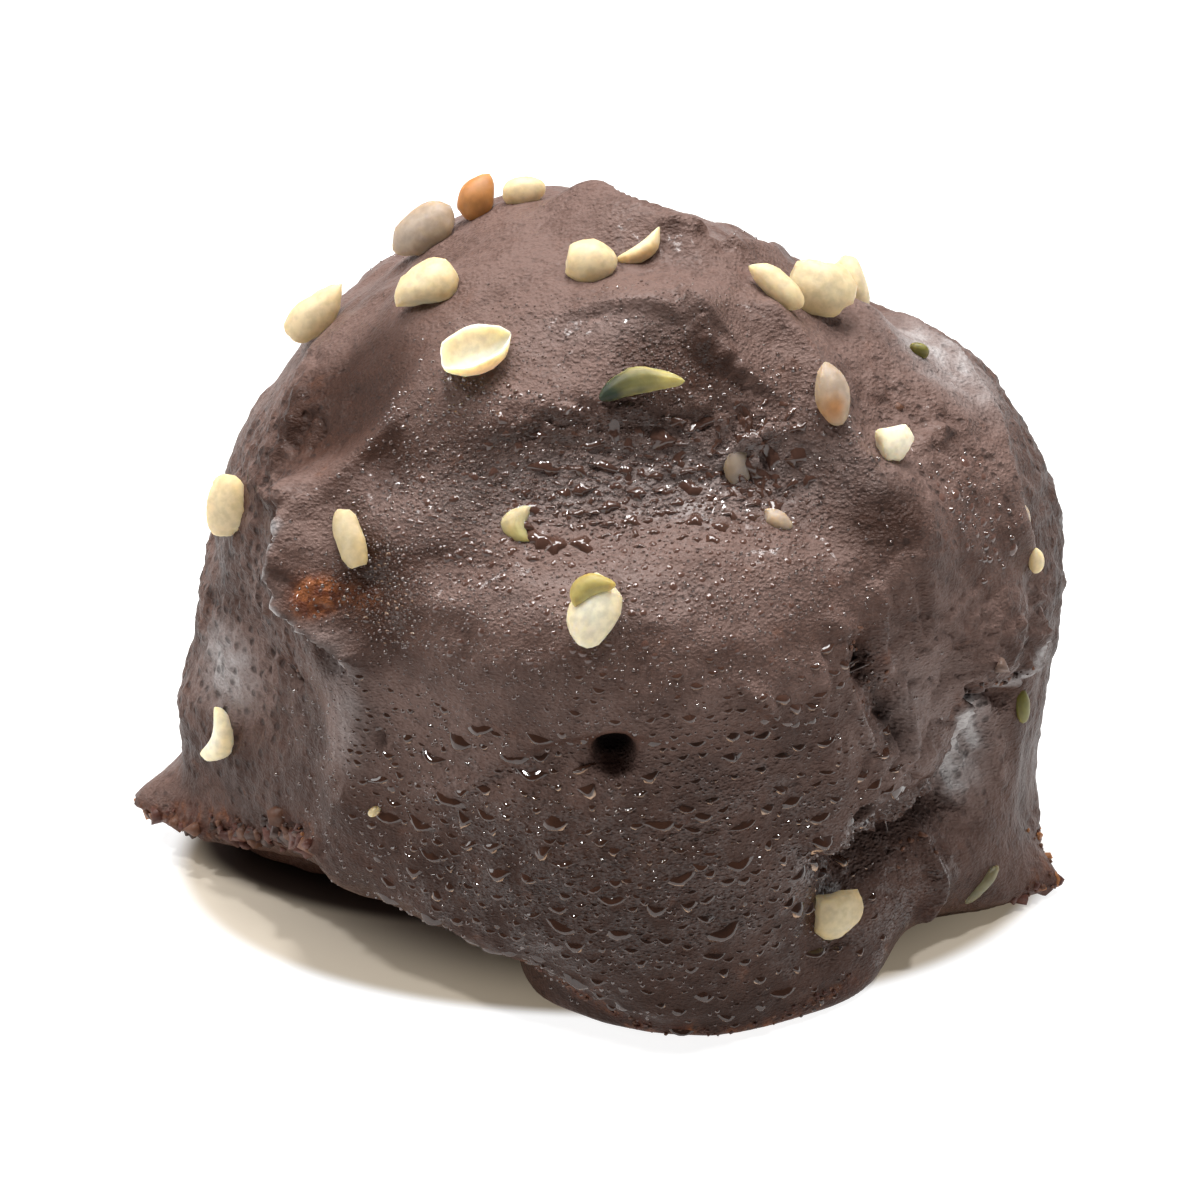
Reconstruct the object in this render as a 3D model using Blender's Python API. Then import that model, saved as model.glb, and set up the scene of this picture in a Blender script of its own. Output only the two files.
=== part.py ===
"""A hand-dipped chocolate truffle: one uneven dome with a lip, two toes and a flat base.

Sizes are in millimetres and angles in degrees; the mesh is scaled to metres when it is made.
Every place on the truffle is a direction from its heart, a point inside on the upright axis:
azimuth 0 is the front (-Y), azimuth 90 the right (+X), and elevation is the angle above level.
"""
import math

import bmesh
import bpy
import numpy as np

MM = 0.001

# Heights of the heart and of the top of the dome above the table.
HEART_HEIGHT = 12.0
PEAK_HEIGHT = 29.8

# Elevations at which the crown, shoulder and waist outlines are taken, and where the dome starts.
CROWN_ANGLE = 55.0
SHOULDER_ANGLE = 28.0
EDGE_ANGLE = -28.0

# Outlines, as (azimuth, radius from the heart). The shell is the thickest at the back right.
CROWN = [(-160, 17.6), (-110, 16.7), (-50, 17.0), (0, 16.8), (50, 17.2), (90, 16.9), (130, 15.8)]
SHOULDER = [(-170, 18.2), (-105, 16.9), (-70, 16.6), (-20, 16.9), (45, 17.6), (75, 18.4), (105, 18.9),
            (140, 18.2)]
WAIST = [(-170, 18.5), (-110, 17.4), (-92, 17.2), (-70, 15.8), (-49, 15.2), (-28, 15.5), (-8, 16.5),
         (13, 17.3), (46, 16.6), (76, 18.4), (95, 19.5), (140, 18.6)]

# The lowest edge of the chocolate, as (azimuth, radius): a lip on the left, a toe at the front, a toe
# on the right, and a notch between the two toes.
EDGE = [(-150, 18.4), (-112, 17.8), (-91, 20.5), (-83, 18.5), (-75, 16.2), (-67, 14.5), (-48, 14.0),
        (-14, 14.2), (0, 15.4), (14, 16.6), (31, 16.8), (44, 16.7), (55, 15.9), (66, 17.7), (76, 19.8),
        (86, 19.1), (120, 18.3)]

# How far that edge stands clear of the table, as (azimuth, height).
LIFT = [(-150, 0.7), (-105, 1.5), (-88, 1.4), (-80, 1.4), (-74, 1.9), (-60, 2.8), (-31, 2.7), (-14, 2.2),
        (0, 1.3), (13, 0.4), (46, 0.5), (56, 1.0), (68, 0.5), (82, 0.3), (120, 0.5)]

# The foot that touches the table, as (azimuth, radius). It is far back under the lip.
FOOT = [(-150, 16.8), (-90, 16.2), (-76, 13.8), (-63, 11.3), (-46, 9.6), (-22, 9.8), (-15, 12.7),
        (-7, 14.2), (14, 16.6), (31, 16.7), (45, 16.4), (56, 14.4), (68, 16.9), (77, 19.2), (100, 17.8),
        (130, 17.3)]

# The wall keeps the waist's radius for most of its height and then flares to the edge.
FLARE_POWER = 9.0
EDGE_THICKNESS = 0.5

# Swellings and hollows: azimuth, elevation, reach across, reach up, turn, height, flatness of the top.
LUMPS = {
    "hollow": (9, 44.5, 29, 10.5, 0, -1.75, 1.6),
    "hollow_flank": (41, 36, 8, 9, 20, -1.0, 1.0),
    "shoulder": (3, 19, 28, 9, 0, 1.0, 1.6),
    "belly": (5, -12, 24, 14, 0, 0.6, 1.0),
    "under_shoulder": (-22, 8, 16, 9, 0, -0.5, 1.0),
    "left_face": (-68, 3, 11, 16, 0, -0.9, 1.0),
    "left_low_bulge": (-88, -16.5, 14, 7.5, 0, 1.05, 1.2),
    "left_slope": (-109, 35, 8, 8, 0, -0.45, 1.0),
    "upper_left_valley": (-61, 41, 10, 6, 25, -0.9, 1.0),
    "right_slope": (66, 42, 8, 10, 0, -0.5, 1.0),
    "far_lobe": (102, 8, 14, 15, 0, 0.9, 1.0),
    "far_valley": (114, 47, 11, 9, 0, -0.8, 1.0),
    "far_edge": (108, 28, 6, 5, 0, 0.4, 1.0),
    "far_notch": (127, 33, 4, 5, 0, -0.45, 1.0),
    "far_crown": (150, 54, 9, 12, 0, 0.6, 1.0),
    "far_step": (168, 72, 8, 6, 0, -0.5, 1.0),
    "back_top": (-160, 66, 18, 8, 0, 0.3, 1.0),
    "right_low": (92, -22, 16, 10, 0, -0.6, 1.0),
    "right_nose": (66, 5, 7, 7, 0, 1.3, 1.5),
    "right_undercut": (67, -9, 7, 7, 20, -1.7, 1.3),
    "right_bulge": (52, 22, 9, 9, 0, 0.5, 1.0),
    "ledge_bump": (25, 13, 6, 4, 0, 0.5, 1.3),
    "cave": (41, -18, 7, 5, 0, -2.0, 1.4),
    "cave_right": (57, -18, 9, 6, 0, -2.0, 1.4),
    "left_nose": (-50, 22, 8, 7, 0, 1.3, 1.4),
    "left_back_valley": (-118, 15, 7, 14, 15, -0.6, 1.0),
    "back_shoulder": (-150, 22, 14, 7, -10, 0.5, 1.0),
    "back_belly": (-160, -10, 20, 12, 0, 0.5, 1.0),
    "back_hollow": (168, 30, 16, 9, 10, -0.9, 1.0),
    "back_dimple": (138, 2, 8, 10, -15, -0.6, 1.0),
}

# Ridges: the (azimuth, elevation) points that the crest runs through, its height, and how far its
# slope reaches on the left and on the right of someone who walks along it.
RIDGES = {
    "nose_edge": ([(-62, 31), (-58, 25), (-52, 18), (-46, 11), (-42, 3), (-42, -7), (-49, -24)], 0.8, 9, 3),
    "upper_left": ([(-40, 57), (-48, 47), (-55, 37), (-62, 29)], 0.5, 5, 4),
    "left": ([(-88, 44), (-76, 39), (-72, 32), (-74, 26)], 0.5, 4, 5),
    "hollow_edge": ([(-22, 53), (-10, 56), (0, 58), (12, 59), (26, 60)], 0.3, 8, 3),
    "crest": ([(13, 68), (31, 66), (50, 66), (57, 60), (54, 52), (49, 45), (49, 38), (52, 30)], 0.9, 6, 5),
    "near_lobe": ([(97, 52), (81, 44), (80, 36), (79, 29), (76, 17), (72, 10)], 0.7, 3, 8),
    "right_rib": ([(52, 27), (52, 18), (50, 7), (46, -4)], 0.5, 3, 3),
    "left_rib": ([(32, 13), (36, 5), (36, -3), (36, -10)], 0.5, 3, 4),
    "cave_rim": ([(33, -12), (40, -9), (48, -6), (58, -8)], 0.5, 4, 3),
    "cave_fold": ([(57, -19), (57, -26), (55, -31)], 0.8, 3, 3),
    "left_back_rib": ([(-112, 40), (-106, 22), (-109, 4), (-104, -14)], 0.5, 4, 5),
    "back_fold": ([(-172, 50), (-168, 38), (-150, 33), (-135, 38)], 0.5, 5, 4),
    "back_rib": ([(150, 45), (146, 30), (148, 12), (143, -8)], 0.6, 4, 6),
    "top_plate": ([(-175, 84), (110, 84), (82, 76), (82, 68), (120, 62)], 0.5, 3, 8),
}

# Relief fades out over this height above the table, so that the base stays flat.
RELIEF_FADE = 3.0

# A burst bubble in the front: direction, radius of the hole and how deep it goes.
BUBBLE_DIRECTION = (2, 7)
BUBBLE_RADIUS = 0.95
BUBBLE_DEPTH = 1.9

# Faces around the truffle, and rows of faces down each part of it.
AROUND = 84
DOME_ROWS = 21
WALL_ROWS = 12
UNDERSIDE_ROWS = 3
FOOT_ROWS = 3
FLOOR_ROWS = 3

CHOCOLATE = (0.060, 0.036, 0.028, 1.0)
CHOCOLATE_ROUGHNESS = 0.38


def clear_scene():
    for item in list(bpy.data.objects):
        bpy.data.objects.remove(item, do_unlink=True)


def hermite(t, before, start, end, after, slope_in, slope_out):
    """The cubic from start to end whose end slopes follow the neighbouring values."""
    first = (end - before) * slope_in
    last = (after - start) * slope_out
    return ((2 * t**3 - 3 * t**2 + 1) * start + (t**3 - 2 * t**2 + t) * first
            + (3 * t**2 - 2 * t**3) * end + (t**3 - t**2) * last)


def around(azimuths, outline):
    """A smooth closed curve through an outline's (azimuth, value) pairs."""
    angles = np.array([angle for angle, _ in outline], float)
    values = np.array([value for _, value in outline], float)
    angles = np.concatenate([angles[-2:] - 360, angles, angles[:2] + 360])
    values = np.concatenate([values[-2:], values, values[:2]])
    wanted = np.where(azimuths < angles[1], azimuths + 360, azimuths)
    k = np.clip(np.searchsorted(angles, wanted) - 1, 1, len(angles) - 3)
    span = angles[k + 1] - angles[k]
    return hermite((wanted - angles[k]) / span, values[k - 1], values[k], values[k + 1], values[k + 2],
                   span / (angles[k + 1] - angles[k - 1]), span / (angles[k + 2] - angles[k]))


def direction(azimuth, elevation):
    """The unit vector that points from the heart in a direction."""
    azimuth, elevation = np.radians(azimuth), np.radians(elevation)
    return np.stack([np.sin(azimuth) * np.cos(elevation), -np.cos(azimuth) * np.cos(elevation),
                     np.sin(elevation) + 0 * azimuth], axis=-1)


def lump(places, azimuth, elevation, across, up, turn, height, flatness):
    """How far one swelling lifts the surface in each of the given directions."""
    centre = direction(azimuth, elevation)
    east = direction(azimuth + 90, 0)
    north = np.cross(centre, east)
    turn = math.radians(turn)
    along = places @ (math.cos(turn) * east + math.sin(turn) * north) / math.sin(math.radians(across))
    over = places @ (math.cos(turn) * north - math.sin(turn) * east) / math.sin(math.radians(up))
    return height * np.exp(-(along**2 + over**2) ** flatness) * (places @ centre > 0)


def ridge(places, path, height, reach_left, reach_right):
    """How far one ridge lifts the surface in each of the given directions."""
    azimuths, elevations = np.array(path, float).T
    points = direction(azimuths, elevations)
    nearest = np.full(places.shape[:-1], np.inf)
    reach = np.full(places.shape[:-1], float(reach_left))
    for start, end in zip(points[:-1], points[1:]):
        step = end - start
        t = np.clip((places - start) @ step / (step @ step), 0, 1)
        offset = places - (start + t[..., None] * step)
        distance = np.linalg.norm(offset, axis=-1)
        on_left = offset @ np.cross(start + end, step) > 0
        reach = np.where(distance < nearest, np.where(on_left, reach_left, reach_right), reach)
        nearest = np.minimum(nearest, distance)
    return height * np.exp(-(nearest / np.sin(np.radians(reach))) ** 2)


def relief(places):
    lumps = sum(lump(places, *values) for values in LUMPS.values())
    return lumps + sum(ridge(places, *values) for values in RIDGES.values())


def dome_radii(azimuths, elevation, edge, lift):
    """Radius from the heart at one elevation, on a smooth curve from the edge over the peak."""
    peak = np.full_like(azimuths, PEAK_HEIGHT - HEART_HEIGHT)
    crown = around(azimuths, CROWN)
    angles = [EDGE_ANGLE, 0.0, SHOULDER_ANGLE, CROWN_ANGLE, 90.0, 180.0 - CROWN_ANGLE]
    radii = [np.hypot(edge, HEART_HEIGHT - lift), around(azimuths, WAIST), around(azimuths, SHOULDER),
             crown, peak, crown]
    k = max(i for i in (1, 2, 3) if angles[i] <= elevation)
    span = angles[k + 1] - angles[k]
    return hermite((elevation - angles[k]) / span, radii[k - 1], radii[k], radii[k + 1], radii[k + 2],
                   span / (angles[k + 1] - angles[k - 1]), span / (angles[k + 2] - angles[k]))


def profile_rows(azimuths):
    """Rows of (distance from the upright axis, height), from just below the peak to the base."""
    edge, lift, foot = (around(azimuths, outline) for outline in (EDGE, LIFT, FOOT))
    waist = around(azimuths, WAIST)
    rows = []
    for row in range(1, DOME_ROWS + 1):
        elevation = 90.0 * (1 - row / DOME_ROWS)
        radius = dome_radii(azimuths, elevation, edge, lift)
        rows.append((radius * math.cos(math.radians(elevation)),
                     HEART_HEIGHT + radius * math.sin(math.radians(elevation))))
    for row in range(1, WALL_ROWS + 1):
        t = row / WALL_ROWS
        rows.append((waist + (edge - waist) * t**FLARE_POWER,
                     HEART_HEIGHT + (lift + EDGE_THICKNESS - HEART_HEIGHT) * t))
    for row in range(1, UNDERSIDE_ROWS + 1):
        t = row / UNDERSIDE_ROWS
        rows.append((edge + (foot - edge) * t, np.where(edge - foot > EDGE_THICKNESS, lift + 0.3 * t, lift)))
    underside = rows[-1][1]
    for row in range(1, FOOT_ROWS + 1):
        rows.append((foot, underside * (1 - row / FOOT_ROWS)))
    return np.array(rows)


def soften(rows):
    """Rounds the corners of the profile, apart from the row that touches the table."""
    rounded = rows.copy()
    rounded[1:-1] = 0.25 * rows[:-2] + 0.5 * rows[1:-1] + 0.25 * rows[2:]
    return rounded


def truffle_points():
    """A grid of points [row, azimuth] that covers all but the peak and the middle of the base."""
    azimuths = np.arange(AROUND) * 360.0 / AROUND - 180.0
    reach, height = np.moveaxis(soften(profile_rows(azimuths)), 1, 0)
    angle = np.radians(azimuths)
    points = np.stack([reach * np.sin(angle), -reach * np.cos(angle), height], axis=-1)
    outward = points - (0, 0, HEART_HEIGHT)
    outward /= np.linalg.norm(outward, axis=-1, keepdims=True)
    fade = np.clip(points[..., 2] / RELIEF_FADE, 0, 1)
    points += outward * (relief(outward) * fade)[..., None]
    points[..., 2] = np.maximum(points[..., 2], 0)
    rim = points[-1]
    floor = [rim * (1 - step / FLOOR_ROWS) for step in range(1, FLOOR_ROWS)]
    return np.concatenate([points, floor])


def build_truffle():
    grid = truffle_points()
    top_height = HEART_HEIGHT + (PEAK_HEIGHT - HEART_HEIGHT) + relief(direction(0.0, 90.0))
    shape = bmesh.new()
    rows = [[shape.verts.new(point * MM) for point in row] for row in grid]
    peak = shape.verts.new((0, 0, float(top_height) * MM))
    base = shape.verts.new((0, 0, 0))
    for here in range(AROUND):
        beside = (here + 1) % AROUND
        shape.faces.new((peak, rows[0][here], rows[0][beside]))
        for upper, lower in zip(rows[:-1], rows[1:]):
            shape.faces.new((upper[here], lower[here], lower[beside], upper[beside]))
        shape.faces.new((base, rows[-1][beside], rows[-1][here]))
    bmesh.ops.recalc_face_normals(shape, faces=shape.faces)
    mesh = bpy.data.meshes.new("truffle")
    shape.to_mesh(mesh)
    shape.free()
    mesh.shade_smooth()
    truffle = bpy.data.objects.new("truffle", mesh)
    bpy.context.collection.objects.link(truffle)
    return truffle


def cut_bubble(truffle):
    """Opens the burst bubble with a long ball that lies along its direction."""
    outward = direction(*(float(angle) for angle in BUBBLE_DIRECTION))
    waist = float(around(np.array([float(BUBBLE_DIRECTION[0])]), WAIST)[0])
    place = (np.array([0, 0, HEART_HEIGHT]) + outward * waist) * MM
    bpy.ops.mesh.primitive_uv_sphere_add(segments=16, ring_count=10, radius=1.0, location=place)
    cutter = bpy.context.object
    cutter.name = "bubble_cutter"
    cutter.rotation_euler = (math.radians(90 - BUBBLE_DIRECTION[1]), 0, math.radians(BUBBLE_DIRECTION[0]))
    cutter.scale = (BUBBLE_RADIUS * MM, BUBBLE_RADIUS * MM, BUBBLE_DEPTH * MM)
    cutter.hide_render = True
    cutter.display_type = "WIRE"
    hole = truffle.modifiers.new("bubble", "BOOLEAN")
    hole.operation = "DIFFERENCE"
    hole.object = cutter


def chocolate():
    material = bpy.data.materials.new("dark_chocolate")
    material.use_nodes = True
    shader = material.node_tree.nodes["Principled BSDF"]
    shader.inputs["Base Color"].default_value = CHOCOLATE
    shader.inputs["Roughness"].default_value = CHOCOLATE_ROUGHNESS
    shader.inputs["Metallic"].default_value = 0.0
    return material


clear_scene()
truffle = build_truffle()
truffle.data.materials.append(chocolate())
cut_bubble(truffle)
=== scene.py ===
# %% [markdown]
# # A hand-dipped chocolate truffle
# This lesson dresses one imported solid, the truffle's plain form, as the real sweet: a dark coat that
# dried unevenly, drops of condensation, shelled hemp seeds and crumbs of the filling at a broken lip.
# Everything is in metres. Small sizes are written in millimetres times MM so that they can be read.

import math
import random

import bmesh
import bpy
import numpy as np
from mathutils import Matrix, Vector, noise
from mathutils.bvhtree import BVHTree


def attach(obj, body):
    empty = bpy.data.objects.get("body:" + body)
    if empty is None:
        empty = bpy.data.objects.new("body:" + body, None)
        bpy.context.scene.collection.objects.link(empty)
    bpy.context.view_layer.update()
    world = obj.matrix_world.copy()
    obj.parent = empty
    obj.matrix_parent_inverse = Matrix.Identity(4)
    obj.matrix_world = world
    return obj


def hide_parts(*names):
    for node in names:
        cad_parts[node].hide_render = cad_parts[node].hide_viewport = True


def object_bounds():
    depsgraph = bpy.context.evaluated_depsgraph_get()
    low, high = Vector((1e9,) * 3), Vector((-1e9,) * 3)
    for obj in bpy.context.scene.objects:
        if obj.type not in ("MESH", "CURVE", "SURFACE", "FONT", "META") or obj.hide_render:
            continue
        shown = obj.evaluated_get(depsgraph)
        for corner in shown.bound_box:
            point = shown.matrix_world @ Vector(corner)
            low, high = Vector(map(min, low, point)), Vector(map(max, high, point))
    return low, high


MM = 0.001
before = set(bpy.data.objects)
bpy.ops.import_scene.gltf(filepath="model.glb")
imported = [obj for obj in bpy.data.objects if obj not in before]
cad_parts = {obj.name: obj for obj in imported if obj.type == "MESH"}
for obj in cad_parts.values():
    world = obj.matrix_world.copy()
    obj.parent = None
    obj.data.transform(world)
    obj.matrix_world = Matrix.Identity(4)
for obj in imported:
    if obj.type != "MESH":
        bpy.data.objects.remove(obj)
cad_low, cad_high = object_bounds()
print("size in mm", [round((high - low) / MM, 1) for low, high in zip(cad_low, cad_high)])

# %% [markdown]
# ## Camera
# A long lens from a quarter of a metre away keeps the truffle's proportions, and a view from 28
# degrees above shows both its top and its front wall. The camera aims at the heart, the point inside
# the truffle from which all places on it are measured.

# %% Camera
HEART = Vector((0, 0, 0.4 * (cad_high.z - cad_low.z)))
CAMERA_DISTANCE = 260 * MM
CAMERA_ELEVATION = math.radians(28)
PICTURE_WIDTH = 51.06 * MM
SENSOR_WIDTH = 36.0


def aim(item, place, target):
    """Puts an object at a place and turns its -Z axis towards a target."""
    item.location = place
    item.rotation_mode = "QUATERNION"
    item.rotation_quaternion = (Vector(target) - Vector(place)).to_track_quat("-Z", "Y")


def add_camera():
    data = bpy.data.cameras.new("camera")
    data.sensor_width = SENSOR_WIDTH
    data.lens = SENSOR_WIDTH * CAMERA_DISTANCE / PICTURE_WIDTH
    camera = bpy.data.objects.new("camera", data)
    bpy.context.collection.objects.link(camera)
    away = Vector((0, -math.cos(CAMERA_ELEVATION), math.sin(CAMERA_ELEVATION)))
    aim(camera, HEART + away * CAMERA_DISTANCE, HEART)
    bpy.context.scene.camera = camera
    return camera


camera = add_camera()
print("lens", round(camera.data.lens, 1), "mm")

# %% [markdown]
# ## Shader maths
# A material is a graph of nodes. Written out node by node it is long and hard to read, so this small
# class wraps a socket: an expression such as 1 - mask adds its Math node, and any other node comes
# from the one method, node().

# %% Shader maths


class Wire:
    """A socket of a material's node tree, for use in expressions."""

    def __init__(self, tree, socket=None):
        self.tree = tree
        self.socket = socket

    def node(self, kind, settings=None, inputs=None, output=0):
        """Adds a node: settings first, then its sockets' values or links. Gives one output or a list."""
        made = self.tree.nodes.new(kind)
        for name, value in (settings or {}).items():
            setattr(made, name, value)
        for name, value in (inputs or {}).items():
            if isinstance(value, Wire):
                self.tree.links.new(value.socket, made.inputs[name])
            else:
                made.inputs[name].default_value = value
        if isinstance(output, list):
            return [Wire(self.tree, made.outputs[name]) for name in output]
        return Wire(self.tree, made.outputs[output])

    def maths(self, operation, first, second=0.0, clamp=False):
        settings = {"operation": operation, "use_clamp": clamp}
        return self.node("ShaderNodeMath", settings, {0: first, 1: second})

    def __add__(self, other):
        return self.maths("ADD", self, other)

    __radd__ = __add__

    def __sub__(self, other):
        return self.maths("SUBTRACT", self, other)

    def __rsub__(self, other):
        return self.maths("SUBTRACT", other, self)

    def __mul__(self, other):
        return self.maths("MULTIPLY", self, other)

    __rmul__ = __mul__

    def clamped(self):
        return self.maths("ADD", self, 0.0, clamp=True)

    def between(self, low, high):
        """0 below low, 1 above high, and smooth between them."""
        settings = {"interpolation_type": "SMOOTHSTEP"}
        return self.node("ShaderNodeMapRange", settings, {"Value": self, "From Min": low, "From Max": high})


def mixed(factor, first, second):
    """A colour between two colours."""
    wires = [value for value in (factor, first, second) if isinstance(value, Wire)]
    colours = [value if isinstance(value, Wire) else (*value, 1.0) for value in (first, second)]
    sockets = {0: factor, 6: colours[0], 7: colours[1]}
    return wires[0].node("ShaderNodeMix", {"data_type": "RGBA"}, sockets, 2)


def new_material(name):
    """An empty material: its start for expressions, and a function that fills in its shader."""
    material = bpy.data.materials.new(name)
    material.use_nodes = True
    tree = material.node_tree
    shader = tree.nodes["Principled BSDF"]

    def finish(**values):
        for key, value in values.items():
            socket = shader.inputs[key.replace("_", " ")]
            if isinstance(value, Wire):
                tree.links.new(value.socket, socket)
            elif isinstance(value, tuple) and socket.type == "RGBA":
                socket.default_value = (*value, 1.0)
            else:
                socket.default_value = value
        return material

    return Wire(tree), finish


print("shader maths ready")

# %% [markdown]
# ## Floor and light
# The truffle stands on a plain white table in a bright room. Most of the light comes from behind and
# above, as the pale, soft sheen on the top shows. The side of the room that faces the front wall is
# dark, so the wall itself only picks up the white of the table. Three small lamps make the sharp
# glints on the drops. The table is so bright that it hardly shows a shadow of its own, so its shade is
# painted: one oval patch under the truffle, with a darker one where the lip hangs over the table.

# %% Floor and light
FLOOR_SIZE = 1.6
FLOOR_WHITE = (0.35, 0.35, 0.345)
FLOOR_SHADED = (0.60, 0.53, 0.44)
SHADE_GLOW = (0.20, 0.17, 0.125)
FLOOR_GLOW = 0.9
SHADE_CENTRE = (0.5 * MM, -1.2 * MM)
SHADE_HALF_SIZES = (18.5 * MM, 12.5 * MM)
SHADE_EDGE = (0.97, 1.05)
SHADE_DEEP = 0.6
CONTACT_DARK = (0.10, 0.07, 0.055)
CONTACT_CENTRE = (-3 * MM, 1 * MM)
CONTACT_HALF_SIZES = (14.8 * MM, 7.8 * MM)
CONTACT_EDGE = (0.93, 1.05)
ROOM_BRIGHT = (0.26, 0.26, 0.27)
ROOM_DARK = (0.085, 0.08, 0.078)
ROOM_FADE = (-0.35, 0.55)
BLACK = (0.0, 0.0, 0.0)
PURE_WHITE = (1.0, 1.0, 1.0)
# name: place in metres, width in metres, power in watts
LAMPS = {
    "window_above": ((0.01, 0.08, 0.26), 0.16, 0.84),
    "window_left": ((-0.22, 0.04, 0.12), 0.12, 0.14),
    "small_lamp_0": ((-0.02, -0.02, 0.30), 0.024, 0.3),
    "small_lamp_1": ((-0.14, -0.03, 0.24), 0.024, 0.3),
    "small_lamp_2": ((0.13, 0.02, 0.25), 0.024, 0.3),
}


def add_floor():
    """A white table that glows a little, but not right under the truffle."""
    bpy.ops.mesh.primitive_plane_add(size=FLOOR_SIZE)
    floor = bpy.context.object
    floor.name = "floor"
    start, finish = new_material("white_table")
    place = start.node("ShaderNodeTexCoord", output="Object")

    def oval(centre, half_sizes):
        """The distance from a centre, 1 on the edge of an oval."""
        shrink = [1 / half for half in half_sizes]
        shift = [-value * scale for value, scale in zip(centre, shrink)]
        scaled = start.node("ShaderNodeMapping", None,
                            {"Vector": place, "Scale": (*shrink, 0), "Location": (*shift, 0)})
        return start.node("ShaderNodeVectorMath", {"operation": "LENGTH"}, {0: scaled}, "Value")

    distance = oval(SHADE_CENTRE, SHADE_HALF_SIZES)
    open_floor = distance.between(*SHADE_EDGE)
    beside = oval(CONTACT_CENTRE, CONTACT_HALF_SIZES).between(*CONTACT_EDGE)
    shaded = mixed(beside, CONTACT_DARK, FLOOR_SHADED)
    in_shade = mixed(distance.between(SHADE_DEEP, SHADE_EDGE[0]) * beside, BLACK, SHADE_GLOW)
    floor.data.materials.append(finish(
        Base_Color=mixed(open_floor, shaded, FLOOR_WHITE), Roughness=0.6,
        Emission_Color=mixed(open_floor, in_shade, PURE_WHITE), Emission_Strength=FLOOR_GLOW))


def add_lamp(name, place, size, watts):
    light = bpy.data.lights.new(name, "AREA")
    light.shape = "DISK"
    light.size = size
    light.energy = watts
    lamp = bpy.data.objects.new(name, light)
    bpy.context.collection.objects.link(lamp)
    aim(lamp, place, HEART)


def add_room():
    """A world that lights from behind and above, is dark in front, and looks plain white."""
    world = bpy.data.worlds.new("room")
    world.use_nodes = True
    bpy.context.scene.world = world
    tree = world.node_tree
    start = Wire(tree)
    way = start.node("ShaderNodeTexCoord", output="Generated")
    parts = [start.node("ShaderNodeSeparateXYZ", None, {0: way}, axis) for axis in ("X", "Y", "Z")]
    towards_front = parts[1] * -math.cos(CAMERA_ELEVATION) + parts[2] * math.sin(CAMERA_ELEVATION)
    colour = mixed(towards_front.between(*ROOM_FADE), ROOM_BRIGHT, ROOM_DARK)
    seen = start.node("ShaderNodeLightPath", output="Is Camera Ray")
    tree.links.new(mixed(seen, colour, PURE_WHITE).socket, tree.nodes["Background"].inputs["Color"])


add_floor()
add_room()
for name, (place, size, watts) in LAMPS.items():
    add_lamp(name, place, size, watts)
bpy.context.scene.view_settings.view_transform = "Standard"

# %% [markdown]
# ## Places and relief
# Every place on the truffle is a direction from its heart: an azimuth, 0 at the front and 90 at the
# right, and an elevation above level. Relief is then a matter of adding soft lumps and ridges to the
# distance from the heart. The same two brushes paint masks later, with 1 for full strength.

# %% Places and relief


def direction(azimuth, elevation):
    """The unit vector from the heart in a direction given in degrees."""
    azimuth, elevation = np.radians(azimuth), np.radians(elevation)
    return np.stack([np.sin(azimuth) * np.cos(elevation), -np.cos(azimuth) * np.cos(elevation),
                     np.sin(elevation) + 0 * azimuth], axis=-1)


def dab(places, azimuth, elevation, across, up, turn=0.0, flatness=1.0):
    """A soft spot of strength 1: across and up are its half sizes in degrees."""
    centre = direction(azimuth, elevation)
    east = direction(azimuth + 90.0, 0.0)
    north = np.cross(centre, east)
    turn = math.radians(turn)
    along = places @ (math.cos(turn) * east + math.sin(turn) * north) / math.sin(math.radians(across))
    over = places @ (math.cos(turn) * north - math.sin(turn) * east) / math.sin(math.radians(up))
    return np.exp(-(along**2 + over**2) ** flatness) * (places @ centre > 0)


def stroke(places, path, left, right):
    """A soft line of strength 1 through (azimuth, elevation) points, with a reach to each side."""
    azimuths, elevations = np.array(path, float).T
    points = direction(azimuths, elevations)
    nearest = np.full(len(places), np.inf)
    reach = np.full(len(places), float(left))
    for start, end in zip(points[:-1], points[1:]):
        step = end - start
        t = np.clip((places - start) @ step / (step @ step), 0, 1)
        offset = places - (start + t[:, None] * step)
        distance = np.linalg.norm(offset, axis=1)
        on_left = offset @ np.cross(start + end, step) > 0
        reach = np.where(distance < nearest, np.where(on_left, left, right), reach)
        nearest = np.minimum(nearest, distance)
    return np.exp(-(nearest / np.sin(np.radians(reach))) ** 2)


def clouds(points, size, seed, octaves=2):
    """Smooth noise from about -1 to 1 at points in metres, with features of the given size."""
    shift = Vector((seed * 17.3, seed * 5.1, seed * 9.7))
    return np.array([noise.fractal(Vector(point) / size + shift, 1.0, 2.0, octaves) for point in points])


print("the front is at", direction(0.0, 0.0), "and the top at", direction(0.0, 90.0).round(3))

# %% [markdown]
# ## The coat
# The coat starts from the solid's own mesh, so it keeps its shape and size. Its triangles are paired
# into quads and subdivided, which rounds the facets, and a voxel remesh then spreads fine, even faces
# over all of it. That gives enough points for thin edges and small holes, which a sculptor would add
# by hand at this stage.

# %% The coat: a fine copy of the solid
MERGE_DISTANCE = 0.001 * MM
PAIRING_BEND = 0.7
PAIRING_SKEW = 3.1
SUBDIVISIONS = 2
COAT_VOXEL = 0.215 * MM
SMOOTHING_STEPS = 8


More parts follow.
